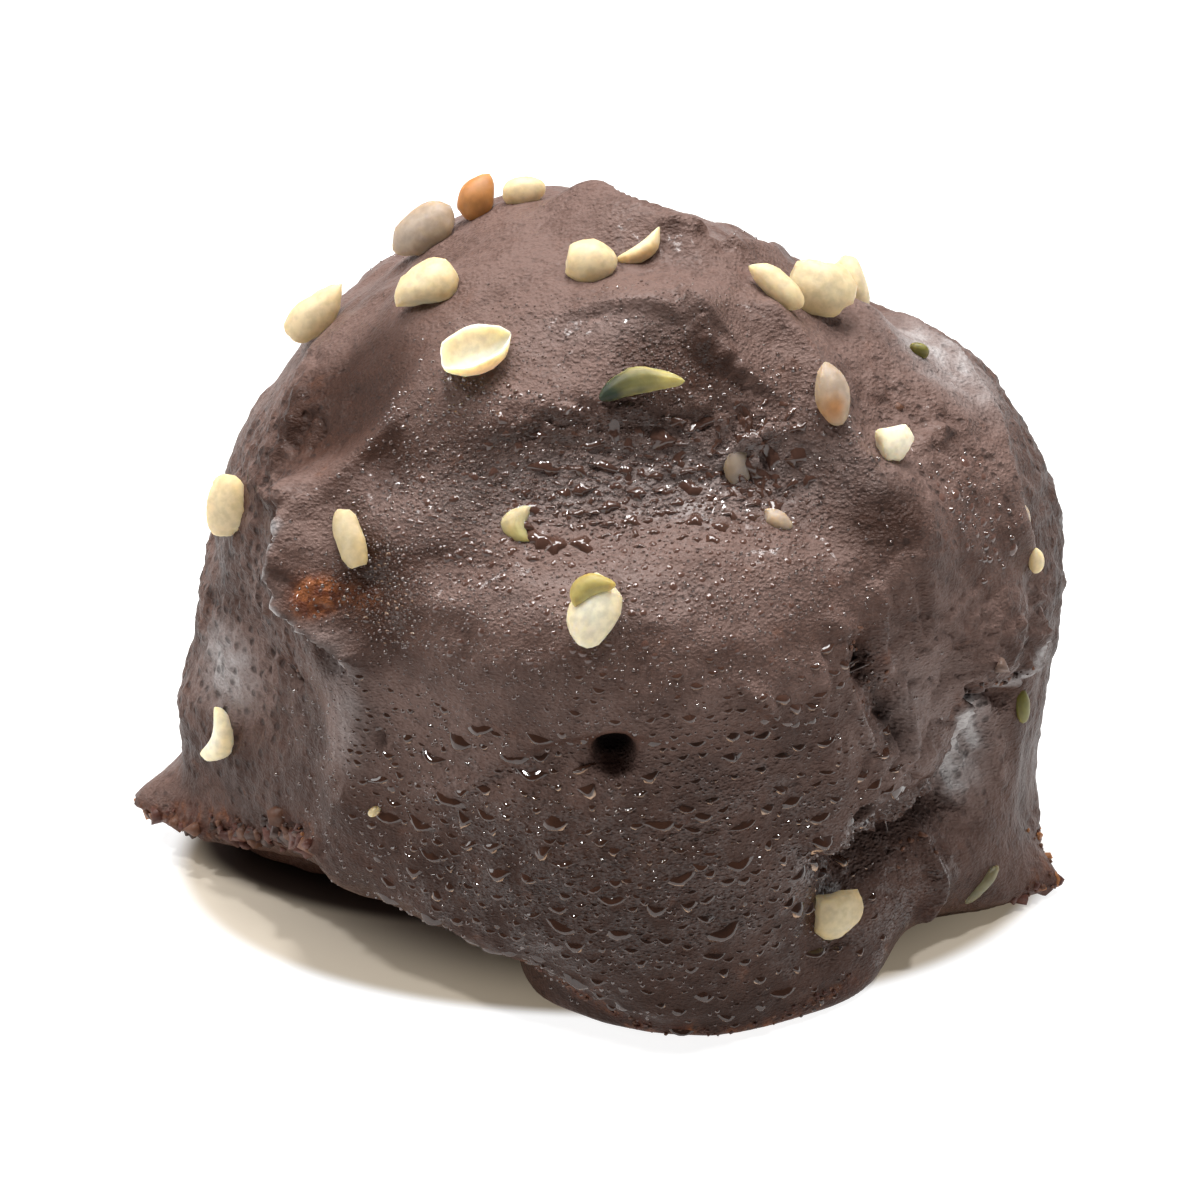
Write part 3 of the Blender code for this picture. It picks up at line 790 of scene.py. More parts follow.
def dark_chocolate():
    start, finish = new_material("dark_chocolate")
    place = start.node("ShaderNodeTexCoord", output="Object")

    def mask(name):
        return start.node("ShaderNodeAttribute", {"attribute_name": name}, output="Fac")

    def specks(size, detail=2.0, stretch=(1, 1, 1)):
        """Noise from 0 to 1 with features of the given size."""
        stretched = start.node("ShaderNodeMapping", None, {"Vector": place, "Scale": stretch})
        return start.node("ShaderNodeTexNoise", None,
                          {"Vector": stretched, "Scale": 1 / size, "Detail": detail}, "Fac")

    wet, film_and_painted_light, filling, caramel, painted_shade, bloom_and_highlight, streak, pit_shade = [
        mask(name) for name in ("wet", "film_and_painted_light", "filling", "caramel", "painted_shade", "bloom_and_highlight", "streak", "pit_shade")]
    blotches = specks(2.2 * MM, 3.0).between(0.35, 0.65)
    fine = specks(0.16 * MM, 2.0, (1, 1, 1.7))
    grainy = specks(0.3 * MM, 3.0, (1, 1, 0.8))
    wet = (wet + 1.2 * (specks(0.9 * MM, 3.0) - 0.5)).between(0.3, 0.6)
    upright = start.node("ShaderNodeMapping", None, {"Vector": place, "Scale": (1, 1, 0.85)})
    away, chance = start.node("ShaderNodeTexVoronoi", None, {"Vector": upright, "Scale": 1 / DIMPLE_SIZE},
                              ["Distance", "Color"])
    # The random colour of a cell, read as one number, leaves most of the dimples out.
    dimples = (1 - away.between(0.12, 0.42)) * (chance - 0.45 + 0.5 * streak).between(0.1, 0.3)
    dimples = dimples * (0.35 + 0.65 * streak)
    runs = specks(0.6 * MM, 3.0, (1, 1, 0.9)).between(0.35, 0.65)
    brown = mixed(blotches, BROWN_DEEP, BROWN_WARM)
    patches = (0.75 + 0.5 * blotches) * (0.3 + 1.4 * fine) * (1 + streak * (1.2 * runs - 0.6))
    # The film and its painted sheen, weaker where water or painted shade lies.
    haze_and_sheen = (film_and_painted_light * patches * (0.5 + grainy) * (1 - 0.25 * wet) * (1 - 0.6 * painted_shade)).clamped()
    brown = mixed(0.5 * grainy.between(0.35, 0.7), brown, BROWN_GRAIN_AND_SHADE)
    brown = mixed(haze_and_sheen, brown, BROWN_FILM_AND_SHEEN)
    # Painted shade darkens the colour.
    brown = mixed(0.7 * painted_shade, brown, BROWN_GRAIN_AND_SHADE)
    # Bloom and painted highlights whiten the colour.
    brown = mixed((bloom_and_highlight * (0.4 + 1.2 * fine)).clamped(), brown, BLOOM_AND_HIGHLIGHT)
    torn = mixed(specks(0.6 * MM).between(0.45, 0.7), TORN_BROWN, CARAMEL)
    brown = mixed(filling * specks(0.5 * MM).between(0.3, 0.6), brown, torn)
    sugar = mixed(specks(0.45 * MM, 3.0).between(0.4, 0.62), CARAMEL_DEEP, CARAMEL)
    brown = mixed((caramel * (0.3 + 1.4 * specks(0.8 * MM))).clamped(), brown, sugar)
    # Painted shade in pits, grooves, the bubble and dimples.
    brown = mixed((pit_shade + 0.6 * dimples).clamped(), brown, PIT_SHADE_AND_DOT_BLACK)
    round_cells = start.node("ShaderNodeMapping", None, {"Vector": place, "Scale": (1, 1, 1.5)})
    cells = start.node("ShaderNodeTexVoronoi", {"feature": "SMOOTH_F1"},
                       {"Vector": round_cells, "Scale": 1 / BEAD_SIZE, "Smoothness": 0.25}, "Distance")
    beads = (0.5 - cells).clamped() * (0.3 + 0.5 * film_and_painted_light + 0.8 * wet)
    height = beads + 0.5 * fine + 0.7 * grainy - dimples + 0.8 * specks(0.9 * MM, 3.0)
    bump = start.node("ShaderNodeBump", None,
                      {"Height": height, "Strength": GRAIN_STRENGTH, "Distance": GRAIN_HEIGHT})
    return finish(
        Base_Color=brown,
        Roughness=0.5 - 0.16 * wet + 0.08 * blotches * film_and_painted_light + 0.4 * pit_shade,
        Specular_IOR_Level=DRY_SHINE,
        Coat_Weight=((wet * 0.7 + caramel + 0.12) * fine.between(0.4, 0.6) - pit_shade).clamped(),
        Coat_Roughness=WET_ROUGHNESS,
        Coat_IOR=WATER_BENDING,
        Normal=bump)


coat.data.materials.clear()
coat.data.materials.append(dark_chocolate())
print("materials", [material.name for material in coat.data.materials])

# %% [markdown]
# ## Finding the skin
# Drops, seeds and crumbs all sit on the coat. A ray from outside towards the heart finds where a
# direction meets it. The landing also gives two axes that lie in the skin, one level and one that
# climbs, so that a piece can be laid the right way up.

# %% Finding the skin
skin = BVHTree.FromPolygons([point.co for point in coat.data.vertices],
                            [face.vertices[:] for face in coat.data.polygons])
OUTSIDE = 40 * MM


def landing(azimuth, elevation):
    """The point, outward normal, level axis and climbing axis where a direction meets the coat."""
    outward = Vector(direction(azimuth, elevation))
    point, normal, _, _ = skin.ray_cast(HEART + outward * OUTSIDE, -outward)
    east = Vector(direction(azimuth + 90, 0.0))
    level = (east - normal * east.dot(normal)).normalized()
    return point, normal, level, normal.cross(level)


def dropped(place, normal, reach=1.2 * MM):
    """A place near the coat, moved along the normal until it lies on the coat."""
    hit = skin.ray_cast(place + normal * reach, -normal, 3 * reach)[0]
    return hit if hit is not None else place


class Pile:
    """Points, faces and point attributes of many small things that become one mesh."""

    def __init__(self, *attributes):
        self.points, self.faces = [], []
        self.attributes = {name: [] for name in attributes}

    def add(self, points, faces, **values):
        start = len(self.points)
        self.points.extend(points)
        self.faces.extend([start + corner for corner in face] for face in faces)
        for name, numbers in values.items():
            self.attributes[name].extend(numbers)

    def build(self, name, material):
        mesh = bpy.data.meshes.new(name)
        mesh.from_pydata(self.points, [], self.faces)
        for attribute, values in self.attributes.items():
            kind, key = ("FLOAT_COLOR", "color") if len(np.shape(values)) == 2 else ("FLOAT", "value")
            layer = mesh.attributes.new(attribute, kind, "POINT")
            layer.data.foreach_set(key, np.ravel(values).astype(np.float32))
        mesh.materials.append(material)
        mesh.shade_smooth()
        made = bpy.data.objects.new(name, mesh)
        bpy.context.collection.objects.link(made)
        print(name, len(mesh.polygons), "faces")
        return made


print("skin ready,", len(coat.data.polygons), "faces")

# %% [markdown]
# ## Drops of condensation
# A cold truffle in warm air gathers water. Each drop is a low cap whose rim lies on the coat, so it
# follows every fold. On the steep front the drops sag and join into wide, ragged ones; in the hollow
# they are shorter and more pointed; on the shelf they stay small and round. A real drop is clear, and
# what it shows is the dark chocolate below, so a dark, very glossy cap looks the same and is solid.
# Light that passes through a drop gathers at its low edge, so the drops on the front get a pale rim
# there, which is painted light in their colour. Beads are the same caps with fewer points, strewn
# between the drops.

# %% Drops of condensation
# azimuth range, elevation range, tries, half width in mm, width over height,
# (raggedness, sag, curl, taper), (side of the painted light rim: below 1 or above -1, paleness)
DROP_FIELDS = {
    "front": ((-28, 38), (-31, 4), 2200, (0.13, 0.62), (1.5, 2.9), (0.7, 0.3, 0.6, 0.3), (1, 0.0)),
    "front_left": ((-44, -22), (-22, 10), 160, (0.10, 0.24), (1.2, 1.8), (0.3, 0.2, 0.2, 0.3), (1, 0.1)),
    "front_high": ((-4, 36), (2, 18), 260, (0.12, 0.40), (1.4, 2.4), (0.4, 0.25, 0.5, 0.3), (1, 0.2)),
    "hollow": ((-10, 38), (37, 52), 1500, (0.20, 0.66), (0.8, 2.0), (0.9, 0.1, -0.2, 0.9), (-1, 0.35)),
    "hollow_left": ((-36, -8), (33, 50), 700, (0.10, 0.32), (1.0, 1.8), (0.5, 0.0, 0.0, 0.6), (-1, 0.5)),
    "shelf": ((-30, 36), (20, 40), 1000, (0.07, 0.20), (0.9, 1.3), (0.15, 0.0, 0.0, 0.0), (1, 0.7)),
    "by_nose": ((-40, -30), (18, 30), 90, (0.07, 0.20), (0.8, 1.4), (0.2, 0.0, 0.0, 0.0), (-1, 0.2)),
    "lobe": ((62, 73), (18, 32), 40, (0.16, 0.32), (0.8, 1.4), (0.2, 0.0, 0.0, 0.3), (1, 0.9)),
    "back": ((150, 215), (-28, 6), 900, (0.14, 0.62), (1.5, 2.6), (0.5, 0.25, 0.5, 0.3), (1, 0.0)),
    "back_high": ((160, 200), (25, 45), 300, (0.12, 0.40), (0.9, 1.6), (0.4, 0.0, 0.0, 0.5), (-1, 0.5)),
}
# azimuth range, elevation range, tries, half width in mm
BEAD_FIELDS = {
    "front": ((-50, 45), (-32, 14), 2600, (0.05, 0.13)),
    "hollow": ((-40, 44), (36, 55), 4600, (0.05, 0.16)),
    "plate": ((8, 30), (55, 66), 260, (0.05, 0.12)),
    "lobe": ((62, 73), (17, 32), 160, (0.06, 0.2)),
    "shelf": ((-42, 40), (18, 38), 2200, (0.04, 0.11)),
    "left": ((-45, -18), (18, 52), 1600, (0.04, 0.12)),
    "behind_nose": ((-43, -32), (19, 31), 500, (0.05, 0.13)),
    "upper_front": ((-40, 36), (6, 22), 900, (0.03, 0.08)),
    "slope": ((-50, 40), (54, 72), 900, (0.03, 0.08)),
    "back": ((130, 230), (-28, 50), 2200, (0.04, 0.12)),
}
print("drops to try", sum(field[2] for field in DROP_FIELDS.values()))
print("beads to try", sum(field[2] for field in BEAD_FIELDS.values()))

# %% [markdown]
# ## The shape of a drop
# One function makes every drop and bead. It draws an oval in rings and spokes, bends it, and drops
# each point onto the coat before it is lifted to the height of the cap. The rim sinks in a little, so
# no gap shows. Each point also keeps how far down the drop it lies, for the painted light at its rim.

# %% The shape of a drop
CAP_SPOKES = 12
CAP_RINGS = 4
BEAD_SPOKES = 6
BEAD_RINGS = 2
CAP_ROUNDNESS = 2.3
RIM_SINK = 0.02 * MM


def add_cap(pile, where, half_width, rings, rise, chance, ratio=1.0, outline=(0.05, 0.0, 0.0, 0.0),
            rim=1, paleness=0.5, turn=0.0):
    """A drop on the coat: an oval with random waves, whose ends curl up and whose low side tapers."""
    spokes = CAP_SPOKES if rings > BEAD_RINGS else BEAD_SPOKES
    ragged, sag, curl, taper = outline
    point, normal, level, climb = landing(*where)
    half_height = half_width / ratio
    waves = [(count, ragged * chance.uniform(0.3, 1.0) / count, chance.uniform(0, 2 * math.pi))
             for count in (2, 3, 5)]
    points, downs = [], []
    lens = 1 + 1.2 * ragged * chance.random()
    for ring in range(rings + 1):
        reach = ring / rings
        for spoke in range(spokes if ring else 1):
            angle = 2 * math.pi * spoke / spokes
            wave = 1 + sum(size * math.cos(count * angle + phase) for count, size, phase in waves)
            rise_here = math.copysign(abs(math.sin(angle)) ** lens, math.sin(angle))
            across = half_width * reach * wave * math.cos(angle) * (1 + taper * min(0.0, math.sin(angle)))
            over = half_height * (reach * wave * rise_here - sag * (1 - reach**2)
                                  + curl * (reach * math.cos(angle)) ** 2)
            u = across * math.cos(turn) - over * math.sin(turn)
            v = across * math.sin(turn) + over * math.cos(turn)
            lift = rise * (1 - reach**CAP_ROUNDNESS) - RIM_SINK * reach
            points.append(dropped(point + level * u + climb * v, normal) + normal * lift)
            # How far down the drop a point lies, which places the painted light at the rim.
            downs.append(0.5 - 0.5 * rim * reach * math.sin(angle))
    faces = [[0, 1 + spoke, 1 + (spoke + 1) % spokes] for spoke in range(spokes)]
    for ring in range(rings - 1):
        inner, outer = 1 + ring * spokes, 1 + (ring + 1) * spokes
        for spoke in range(spokes):
            after = (spoke + 1) % spokes
            faces.append([inner + spoke, outer + spoke, outer + after, inner + after])
    pile.add(points, faces, down=downs, pale=[paleness] * len(points))


print("points in a drop", 1 + CAP_RINGS * CAP_SPOKES, "and in a bead", 1 + BEAD_RINGS * BEAD_SPOKES)

# %% [markdown]
# ## Room for each drop
# Drops that touch run together, so real ones keep apart. Each try draws a place and a size, densest in
# the middle of its field, and is given up where an earlier drop is too near. The number of tries is
# fixed, so this always ends.

# %% Room for each drop
# How far from its middle a field thins out and where it ends, with 1 at its border.
FIELD_SOFTNESS = 0.62
FIELD_END = 1.25
# Small sizes are more common than large ones.
SIZE_SKEW = 1.6
DROP_SPACING = 0.8
BUBBLE_CLEARANCE = 1.0 * MM


class Spacing:
    """Keeps scattered things apart, measured on a ball of about the truffle's size."""

    BALL = float(HEART.z + 4 * MM)

    def __init__(self):
        self.places, self.radii = [], []

    def free(self, where, radius):
        place = direction(*where) * self.BALL
        if self.places:
            gaps = np.linalg.norm(np.array(self.places) - place, axis=1) - np.array(self.radii)
            if gaps.min() < radius:
                return False
        self.places.append(place)
        self.radii.append(radius)
        return True


def scatter(fields, seed, spacing, make):
    """Calls make(place, size, field) for each thing that finds room."""
    chance = random.Random(seed)
    for (west, east), (low, high), count, (small, large), *rest in fields.values():
        for _ in range(count):
            size = (small + (large - small) * chance.random() ** SIZE_SKEW) * MM
            u, v = chance.gauss(0, FIELD_SOFTNESS), chance.gauss(0, FIELD_SOFTNESS)
            where = ((west + east + u * (east - west)) / 2, (low + high + v * (high - low)) / 2)
            if max(abs(u), abs(v)) < FIELD_END and spacing.free(where, size * DROP_SPACING):
                make(where, size, rest, chance)


spacing = Spacing()
print("the bubble's mouth stays free:", spacing.free(BUBBLE_MOUTH[:2], BUBBLE_CLEARANCE))

# %% [markdown]
# ## Water
# The colour of a drop goes from dark to brown by its field's paleness: on the wet front it is nearly
# black, and on the filmed shelf it is browner. The paler a field is, the weaker is the painted light
# at the rim of its drops, and above a third there is none.

# %% Water
WATER_DARK = (0.046, 0.019, 0.011)
WATER_BROWN = (0.115, 0.060, 0.046)
# The pale rim of a drop is painted light: light gathered by the drop, put into its colour.
WATER_PAINTED_RIM_LIGHT = (0.70, 0.46, 0.30)
WATER_ROUGHNESS = 0.08
# Water bends light by 1.33. More than that makes the glints of such small drops bright enough.
DROP_GLOSS = 1.6
BEAD_GLOSS = 1.9
RIM_FADE = (0.62, 0.86)


def water(name, gloss):
    """Water over chocolate: dark as what lies below it, glossy, and painted pale where light gathers."""
    start, finish = new_material(name)
    down, pale = [start.node("ShaderNodeAttribute", {"attribute_name": mask}, output="Fac")
                  for mask in ("down", "pale")]
    body = mixed(pale, WATER_DARK, WATER_BROWN)
    return finish(
        Base_Color=mixed(down.between(*RIM_FADE) * (0.8 - 2.5 * pale).clamped(), body, WATER_PAINTED_RIM_LIGHT),
        Roughness=WATER_ROUGHNESS,
        IOR=gloss)


drops, beads = Pile("down", "pale"), Pile("down", "pale")


def make_drop(where, size, rest, chance):
    (flat, wide), (ragged, sag, curl, taper), (rim, paleness) = rest
    outline = (ragged, sag, curl * chance.uniform(0, 1.5), taper * chance.random())
    rise = size * chance.uniform(0.3, 0.45) * (1 - 0.35 * paleness)
    add_cap(drops, where, size, CAP_RINGS, rise, chance, chance.uniform(flat, wide), outline,
            rim, paleness, chance.uniform(-0.35, 0.35))


def make_bead(where, size, rest, chance):
    rise = size * chance.uniform(0.6, 0.9)
    add_cap(beads, where, size, BEAD_RINGS, rise, chance, chance.uniform(0.95, 1.25))


scatter(DROP_FIELDS, 5, spacing, make_drop)
scatter(BEAD_FIELDS, 6, spacing, make_bead)
drops = drops.build("drops", water("water_drops", DROP_GLOSS))
beads = beads.build("beads", water("water_beads", BEAD_GLOSS))

# %% [markdown]
# ## Hemp seeds
# A shelled hemp seed is a small cream egg with one pointed end, and its halves look like helmets,
# boats and crescents. Each seed in sight has a line here: the direction of its place, the way its broad
# side faces, the angle of its length as seen from the front, its size in millimetres and its colour.

# %% Hemp seeds
CREAM = (0.62, 0.52, 0.34)
WHITE = (0.76, 0.71, 0.56)
PALE = (0.50, 0.42, 0.27)
GREY = (0.36, 0.29, 0.23)
DULL = (0.25, 0.20, 0.16)
HULL = (0.42, 0.20, 0.07)
GERM = (0.36, 0.31, 0.11)
OLIVE = (0.13, 0.125, 0.03)
GREEN = (0.020, 0.034, 0.018)
YELLOWED = (0.85, 0.66, 0.36)

SEEDS = {
    "hull_on_top": dict(at=(-131, 69), face=(0, 30), turn=62, size=(2.1, 1.5, 0.62), point=0.9, tone=HULL),
    "by_hull": dict(at=(-142, 73), face=(5, 38), turn=8, size=(1.9, 1.3, 0.6), point=0.2, tone=CREAM),
    "upper_left_far": dict(at=(-118, 62), face=(-35, 42), turn=212, size=(3.1, 2.1, 0.81), point=0.7,
                           tone=GREY),
    "upper_left": dict(at=(-72, 64.5), face=(-22, 42), turn=215, size=(2.8, 2.2, 0.87), point=0.5,
                       cuts=[(60, 0.62)], notch=(50, 0.2, 20), tone=CREAM),
    "left_teardrop": dict(at=(-105, 44), face=(-30, 30), turn=43, size=(3.3, 1.75, 0.68), point=1.0,
                          bend=0.25, tone=CREAM),
    "top_middle": dict(at=(-6, 78.5), face=(0, 48), turn=-8, size=(2.35, 1.9, 0.81), point=0.5,
                       cuts=[(180, 0.95)], tone=CREAM),
    "top_sliver": dict(at=(34, 80), face=(-10, 50), turn=40, size=(2.3, 0.75, 0.5), point=0.6, bend=0.6,
                       tone=CREAM),
    "dotted": dict(at=(62, 64), face=(20, 42), turn=140, size=(2.7, 1.25, 0.56), point=0.9, bend=0.2,
                   dot=(-0.1, 0.0, 0.11), tone=CREAM),
    "big_helmet": dict(at=(80, 59.5), face=(20, 45), turn=-22, size=(3.2, 2.6, 0.95), point=0.35,
                       cuts=[(115, 0.9), (180, 1.3)], ridges=0.06, tone=CREAM),
    "behind_helmet": dict(at=(103, 51), face=(50, 30), turn=105, size=(2.7, 1.5, 0.8), point=0.3,
                          bend=-0.3, tone=CREAM),
    "boat": dict(at=(-34, 59.5), face=(-12, 64), turn=24, size=(3.0, 2.2, 1.0), point=0.4, dish=1.75,
                 under=1.0, tone=WHITE),
    "green_sliver": dict(at=(10, 58), face=(0, 35), turn=10, size=(3.5, 1.1, 0.4), point=0.5, bend=-0.35,
                         ridges=0.16, tone=GREEN, tip_tone=GERM),
    "far_green": dict(at=(88, 42), face=(45, 35), turn=150, size=(0.9, 0.6, 0.4), tone=OLIVE),
    "stained_egg": dict(at=(51, 48.5), face=(40, 30), turn=102, size=(2.6, 1.65, 0.62), point=0.7,
                        tone=GREY, stain=(-0.7, 0.35, HULL)),
    "chunk": dict(at=(59, 37.5), face=(35, 25), turn=20, size=(2.1, 1.9, 0.56),
                  cuts=[(190, 0.75), (80, 0.66), (20, 0.8), (-50, 0.62), (250, 0.7)], tone=WHITE),
    "filmed_teardrop": dict(at=(31, 45), turn=280, size=(1.9, 1.25, 0.31), point=1.0, tone=DULL, sink=0.2),
    "grey_chunk": dict(at=(34, 36), turn=-25, size=(1.35, 0.95, 0.37), point=0.6,
                       cuts=[(200, 0.5), (80, 0.36)], tone=GREY),
    "left_half_disc": dict(at=(-81, 20), face=(-32, 15), turn=262, size=(2.8, 2.6, 0.7), point=0.4,
                           cuts=[(-82, 0.45), (20, 1.15)], tone=CREAM),
    "by_nose": dict(at=(-43.5, 30), face=(-38, 28), turn=107, size=(2.75, 1.45, 0.5), point=0.3,
                    cuts=[(90, 0.5), (180, 1.25)], bend=-0.12, tone=PALE),
    "comma": dict(at=(-15, 38.5), turn=85, size=(2.0, 1.0, 0.35), bend=-1.2,
                  cuts=[(0, 0.8), (180, 0.8)], tone=GERM, tip_tone=PALE),
    "white_seed": dict(at=(-1, 26), face=(0, 30), turn=252, size=(3.05, 2, 0.74), point=0.45, bend=-0.1,
                       dot=(-0.75, -0.25, 0.06), tone=WHITE),
    "curled_germ": dict(at=(-1.4, 27.8), face=(-5, 35), turn=25, size=(2.0, 1.0, 0.45), bend=-0.6, lift=1.0,
                        tone=GERM),
    "left_crescent": dict(at=(-76, -15), face=(-40, 10), turn=70, size=(2.7, 1.25, 0.55), bend=1.0,
                          point=0.0, cuts=[(0, 1.1), (180, 1.1)], tone=WHITE),
    "right_small": dict(at=(79, 18), face=(50, 15), turn=100, size=(1.25, 0.9, 0.37), tone=GREY),
    "right_smaller": dict(at=(76, 13), face=(50, 15), turn=110, size=(1.15, 0.85, 0.37), tone=CREAM),
    "right_green": dict(at=(77, -9), face=(55, 10), turn=95, size=(1.6, 0.85, 0.31), tone=OLIVE),
    "in_the_fold": dict(at=(36, -25), face=(25, 0), turn=-60, size=(2.7, 2.5, 0.62), point=0.4,
                        cuts=[(240, 0.9), (150, 0.85)], dot=(0.1, -0.1, 0.12), tone=PALE),
    "green_in_wall": dict(at=(66, -29), turn=45, size=(2.1, 0.75, 0.35), tone=(0.16, 0.15, 0.09), sink=0.3),
    "tiny": dict(at=(-36, -11), turn=30, size=(0.6, 0.4, 0.35), tone=PALE),
}
print("named seeds", len(SEEDS))

# %% [markdown]
# ## The shape of a seed
# One function makes them all: rings along the length, pinched to a point at the tip, then bent,
# hollowed, notched or cut flat, with a little noise so that no seed is perfect.

# %% The shape of a seed
SEED_RINGS = 16
SEED_SPOKES = 20
# A seed's underside is flatter than its top, and a cut face bulges a little.
UNDERSIDE = 0.35
CUT_FLATNESS = 0.93
RIDGE_COUNT = 9


def seed_points(size, point=0.3, bend=0.0, dish=0.0, under=UNDERSIDE, cuts=(), notch=None, ridges=0.0,
                chance=None):
    """Local points of a seed in mm: x along its length to the tip, y across, z out of the coat."""
    length, width, thickness = size
    shift = Vector((chance.uniform(0, 50), chance.uniform(0, 50), 0))
    points = []
    for ring in range(SEED_RINGS + 1):
        way = math.pi * ring / SEED_RINGS
        along = -math.cos(way)
        pinch = math.sin(way) ** (0.85 + point * (1 + along) / 2) if 0 < ring < SEED_RINGS else 0.0
        pinch *= 1 - 0.18 * point * along
        for spoke in range(SEED_SPOKES):
            around = 2 * math.pi * spoke / SEED_SPOKES
            out = math.sin(around)
            x = along * length / 2
            y = math.cos(around) * pinch * width / 2
            z = out * pinch * thickness * (1 - dish * out**2 if out > 0 else under)
            if notch:
                angle, depth, wide = notch
                off = (math.degrees(math.atan2(y, x)) - angle + 180) % 360 - 180
                dent = 1 - depth * math.exp(-((off / wide) ** 2))
                x, y = x * dent, y * dent
            for angle, reach in cuts:
                cosine, sine = math.cos(math.radians(angle)), math.sin(math.radians(angle))
                over = max(0.0, x * cosine + y * sine - reach)
                x, y = x - CUT_FLATNESS * over * cosine, y - CUT_FLATNESS * over * sine
            y += bend * ((2 * x / length) ** 2 - 0.4) * length / 2 * 0.6
            z *= 1 + ridges * math.cos(RIDGE_COUNT * around)
            spot = Vector((x, y, z))
            lump = 1 + 0.14 * noise.noise(spot * 1.1 + shift) + 0.05 * noise.noise(spot * 3 + shift)
            points.append(spot * lump)
    return points


print("points in a seed", (SEED_RINGS + 1) * SEED_SPOKES)

# %% [markdown]
# ## Laying a seed on the coat
# A seed that faces the camera is turned by the angle at which its length should be seen, and one that
# faces away by the angle on the coat. It is then moved along the coat's normal until its lowest point
# lies a little under the skin. The colour of each point is stored: yellower at the rim, and with a
# germ, a stain or a dark dot where the seed has one.

# %% Laying a seed on the coat
SEED_SINK = 0.15
FACING_CAMERA = 0.15
VIEW = (camera.location - HEART).normalized()
PICTURE_RIGHT = Vector((1, 0, 0))
PICTURE_UP = VIEW.cross(PICTURE_RIGHT)


def add_seed(pile, at, size, chance, face=None, turn=0.0, tone=CREAM, tip_tone=None, stain=None, dot=None,
             sink=SEED_SINK, lift=0.0, **shape):
    """Lays a seed on the coat, with its broad side facing a direction and its length at an angle."""
    point, normal, level, climb = landing(*at)
    out = Vector(direction(*face)) if face else normal
    angle = math.radians(turn)
    if out.dot(VIEW) > FACING_CAMERA:
        seen = PICTURE_RIGHT * math.cos(angle) + PICTURE_UP * math.sin(angle)
        along = (seen - VIEW * (seen.dot(out) / VIEW.dot(out))).normalized()
    else:
        along = (level * math.cos(angle) + climb * math.sin(angle)).normalized()
    across = out.cross(along)
    local = seed_points(size, chance=chance, **shape)
    placed = [along * p.x + across * p.y + out * p.z for p in local]
    lowest = min(p.dot(normal) for p in placed)
    base = point + normal * (lift - sink - lowest) * MM
    colours = []
    for p in local:
        rim = min(1.0, (2 * p.x / size[0]) ** 2 * 0.6 + (2 * p.y / size[1]) ** 2)
        colour = [value * (1 + (edge - 1) * 0.55 * rim) for value, edge in zip(tone, YELLOWED)]
        if tip_tone:
            share = min(1.0, max(0.0, 0.5 + 1.4 * p.x / size[0] + 0.25 * noise.noise(p * 2)))
            colour = [first + (last - first) * share for first, last in zip(colour, tip_tone)]
        if stain:
            share = math.exp(-((p.x - stain[0]) ** 2 + (p.y - stain[1]) ** 2) / 0.25)
            colour = [first + (last - first) * share for first, last in zip(colour, stain[2])]
        if dot and p.z > 0 and (p.x - dot[0]) ** 2 + (p.y - dot[1]) ** 2 < dot[2] ** 2:
            colour = list(PIT_SHADE_AND_DOT_BLACK)
        colours.append((*colour, 1.0))
    faces = []
    for ring in range(SEED_RINGS):
        low, high = ring * SEED_SPOKES, (ring + 1) * SEED_SPOKES
        for spoke in range(SEED_SPOKES):
            after = (spoke + 1) % SEED_SPOKES
            faces.append([low + spoke, high + spoke, high + after, low + after])
    pile.add([base + p * MM for p in placed], faces, tone=colours)


print("the camera looks along", [round(-part, 2) for part in VIEW])

# %% [markdown]
# ## Seed flesh
# Hemp seed is waxy and slightly clear: light enters it, spreads and comes out again, which Blender
# calls subsurface scattering. A faint glow of the same colour stands for the bright room behind.

# %% Seed flesh
SEED_GLOW = 0.16
MOTTLE_SIZE = 0.35 * MM
# How far light goes through the seed, and how much of its red, green and blue does.
FLESH_DEPTH = 0.9 * MM
FLESH_TINT = (1.0, 0.75, 0.4)


def seed_flesh():
    start, finish = new_material("hemp_seed")
    place = start.node("ShaderNodeTexCoord", output="Object")
    tone = start.node("ShaderNodeAttribute", {"attribute_name": "tone"}, output="Color")
    mottle = start.node("ShaderNodeTexNoise", None,
                        {"Vector": place, "Scale": 1 / MOTTLE_SIZE, "Detail": 3.0}, "Fac")
    shade = mottle.between(0.25, 0.75) * 0.25 + 0.8
    shaded = start.node("ShaderNodeMix", {"data_type": "RGBA", "blend_type": "MULTIPLY"},
                        {0: 1.0, 6: tone, 7: mixed(shade, BLACK, PURE_WHITE)}, 2)
    bump = start.node("ShaderNodeBump", None, {"Height": mottle, "Strength": 0.25, "Distance": 0.05 * MM})
    return finish(Base_Color=shaded, Roughness=0.48, Specular_IOR_Level=0.35, Subsurface_Weight=1.0,
                  Subsurface_Scale=FLESH_DEPTH, Subsurface_Radius=FLESH_TINT, Normal=bump,
                  Emission_Color=shaded, Emission_Strength=SEED_GLOW)


chance = random.Random(21)
seeds = Pile("tone")
for shape in SEEDS.values():
    add_seed(seeds, chance=chance, **shape)
print("points in the named seeds", len(seeds.points))

# %% [markdown]
# ## Seeds out of sight
# Someone who turns the truffle round expects seeds there too. They are drawn by chance, each with its
# own size, bend and cut, and kept apart. A ray towards the camera tells whether a place is hidden, so
# that none of them shows over the edge and spoils the outline.

# %% Seeds out of sight
FAR_SEED_TRIES = 70
FAR_SEED_GAP = 1.9 * MM
FAR_SEED_HEIGHT = 2.2 * MM
FAR_TONES = (CREAM, CREAM, WHITE, PALE, GREY)
FAR_AZIMUTHS = (96, 262)
FAR_HEIGHTS = (-0.3, 0.97)


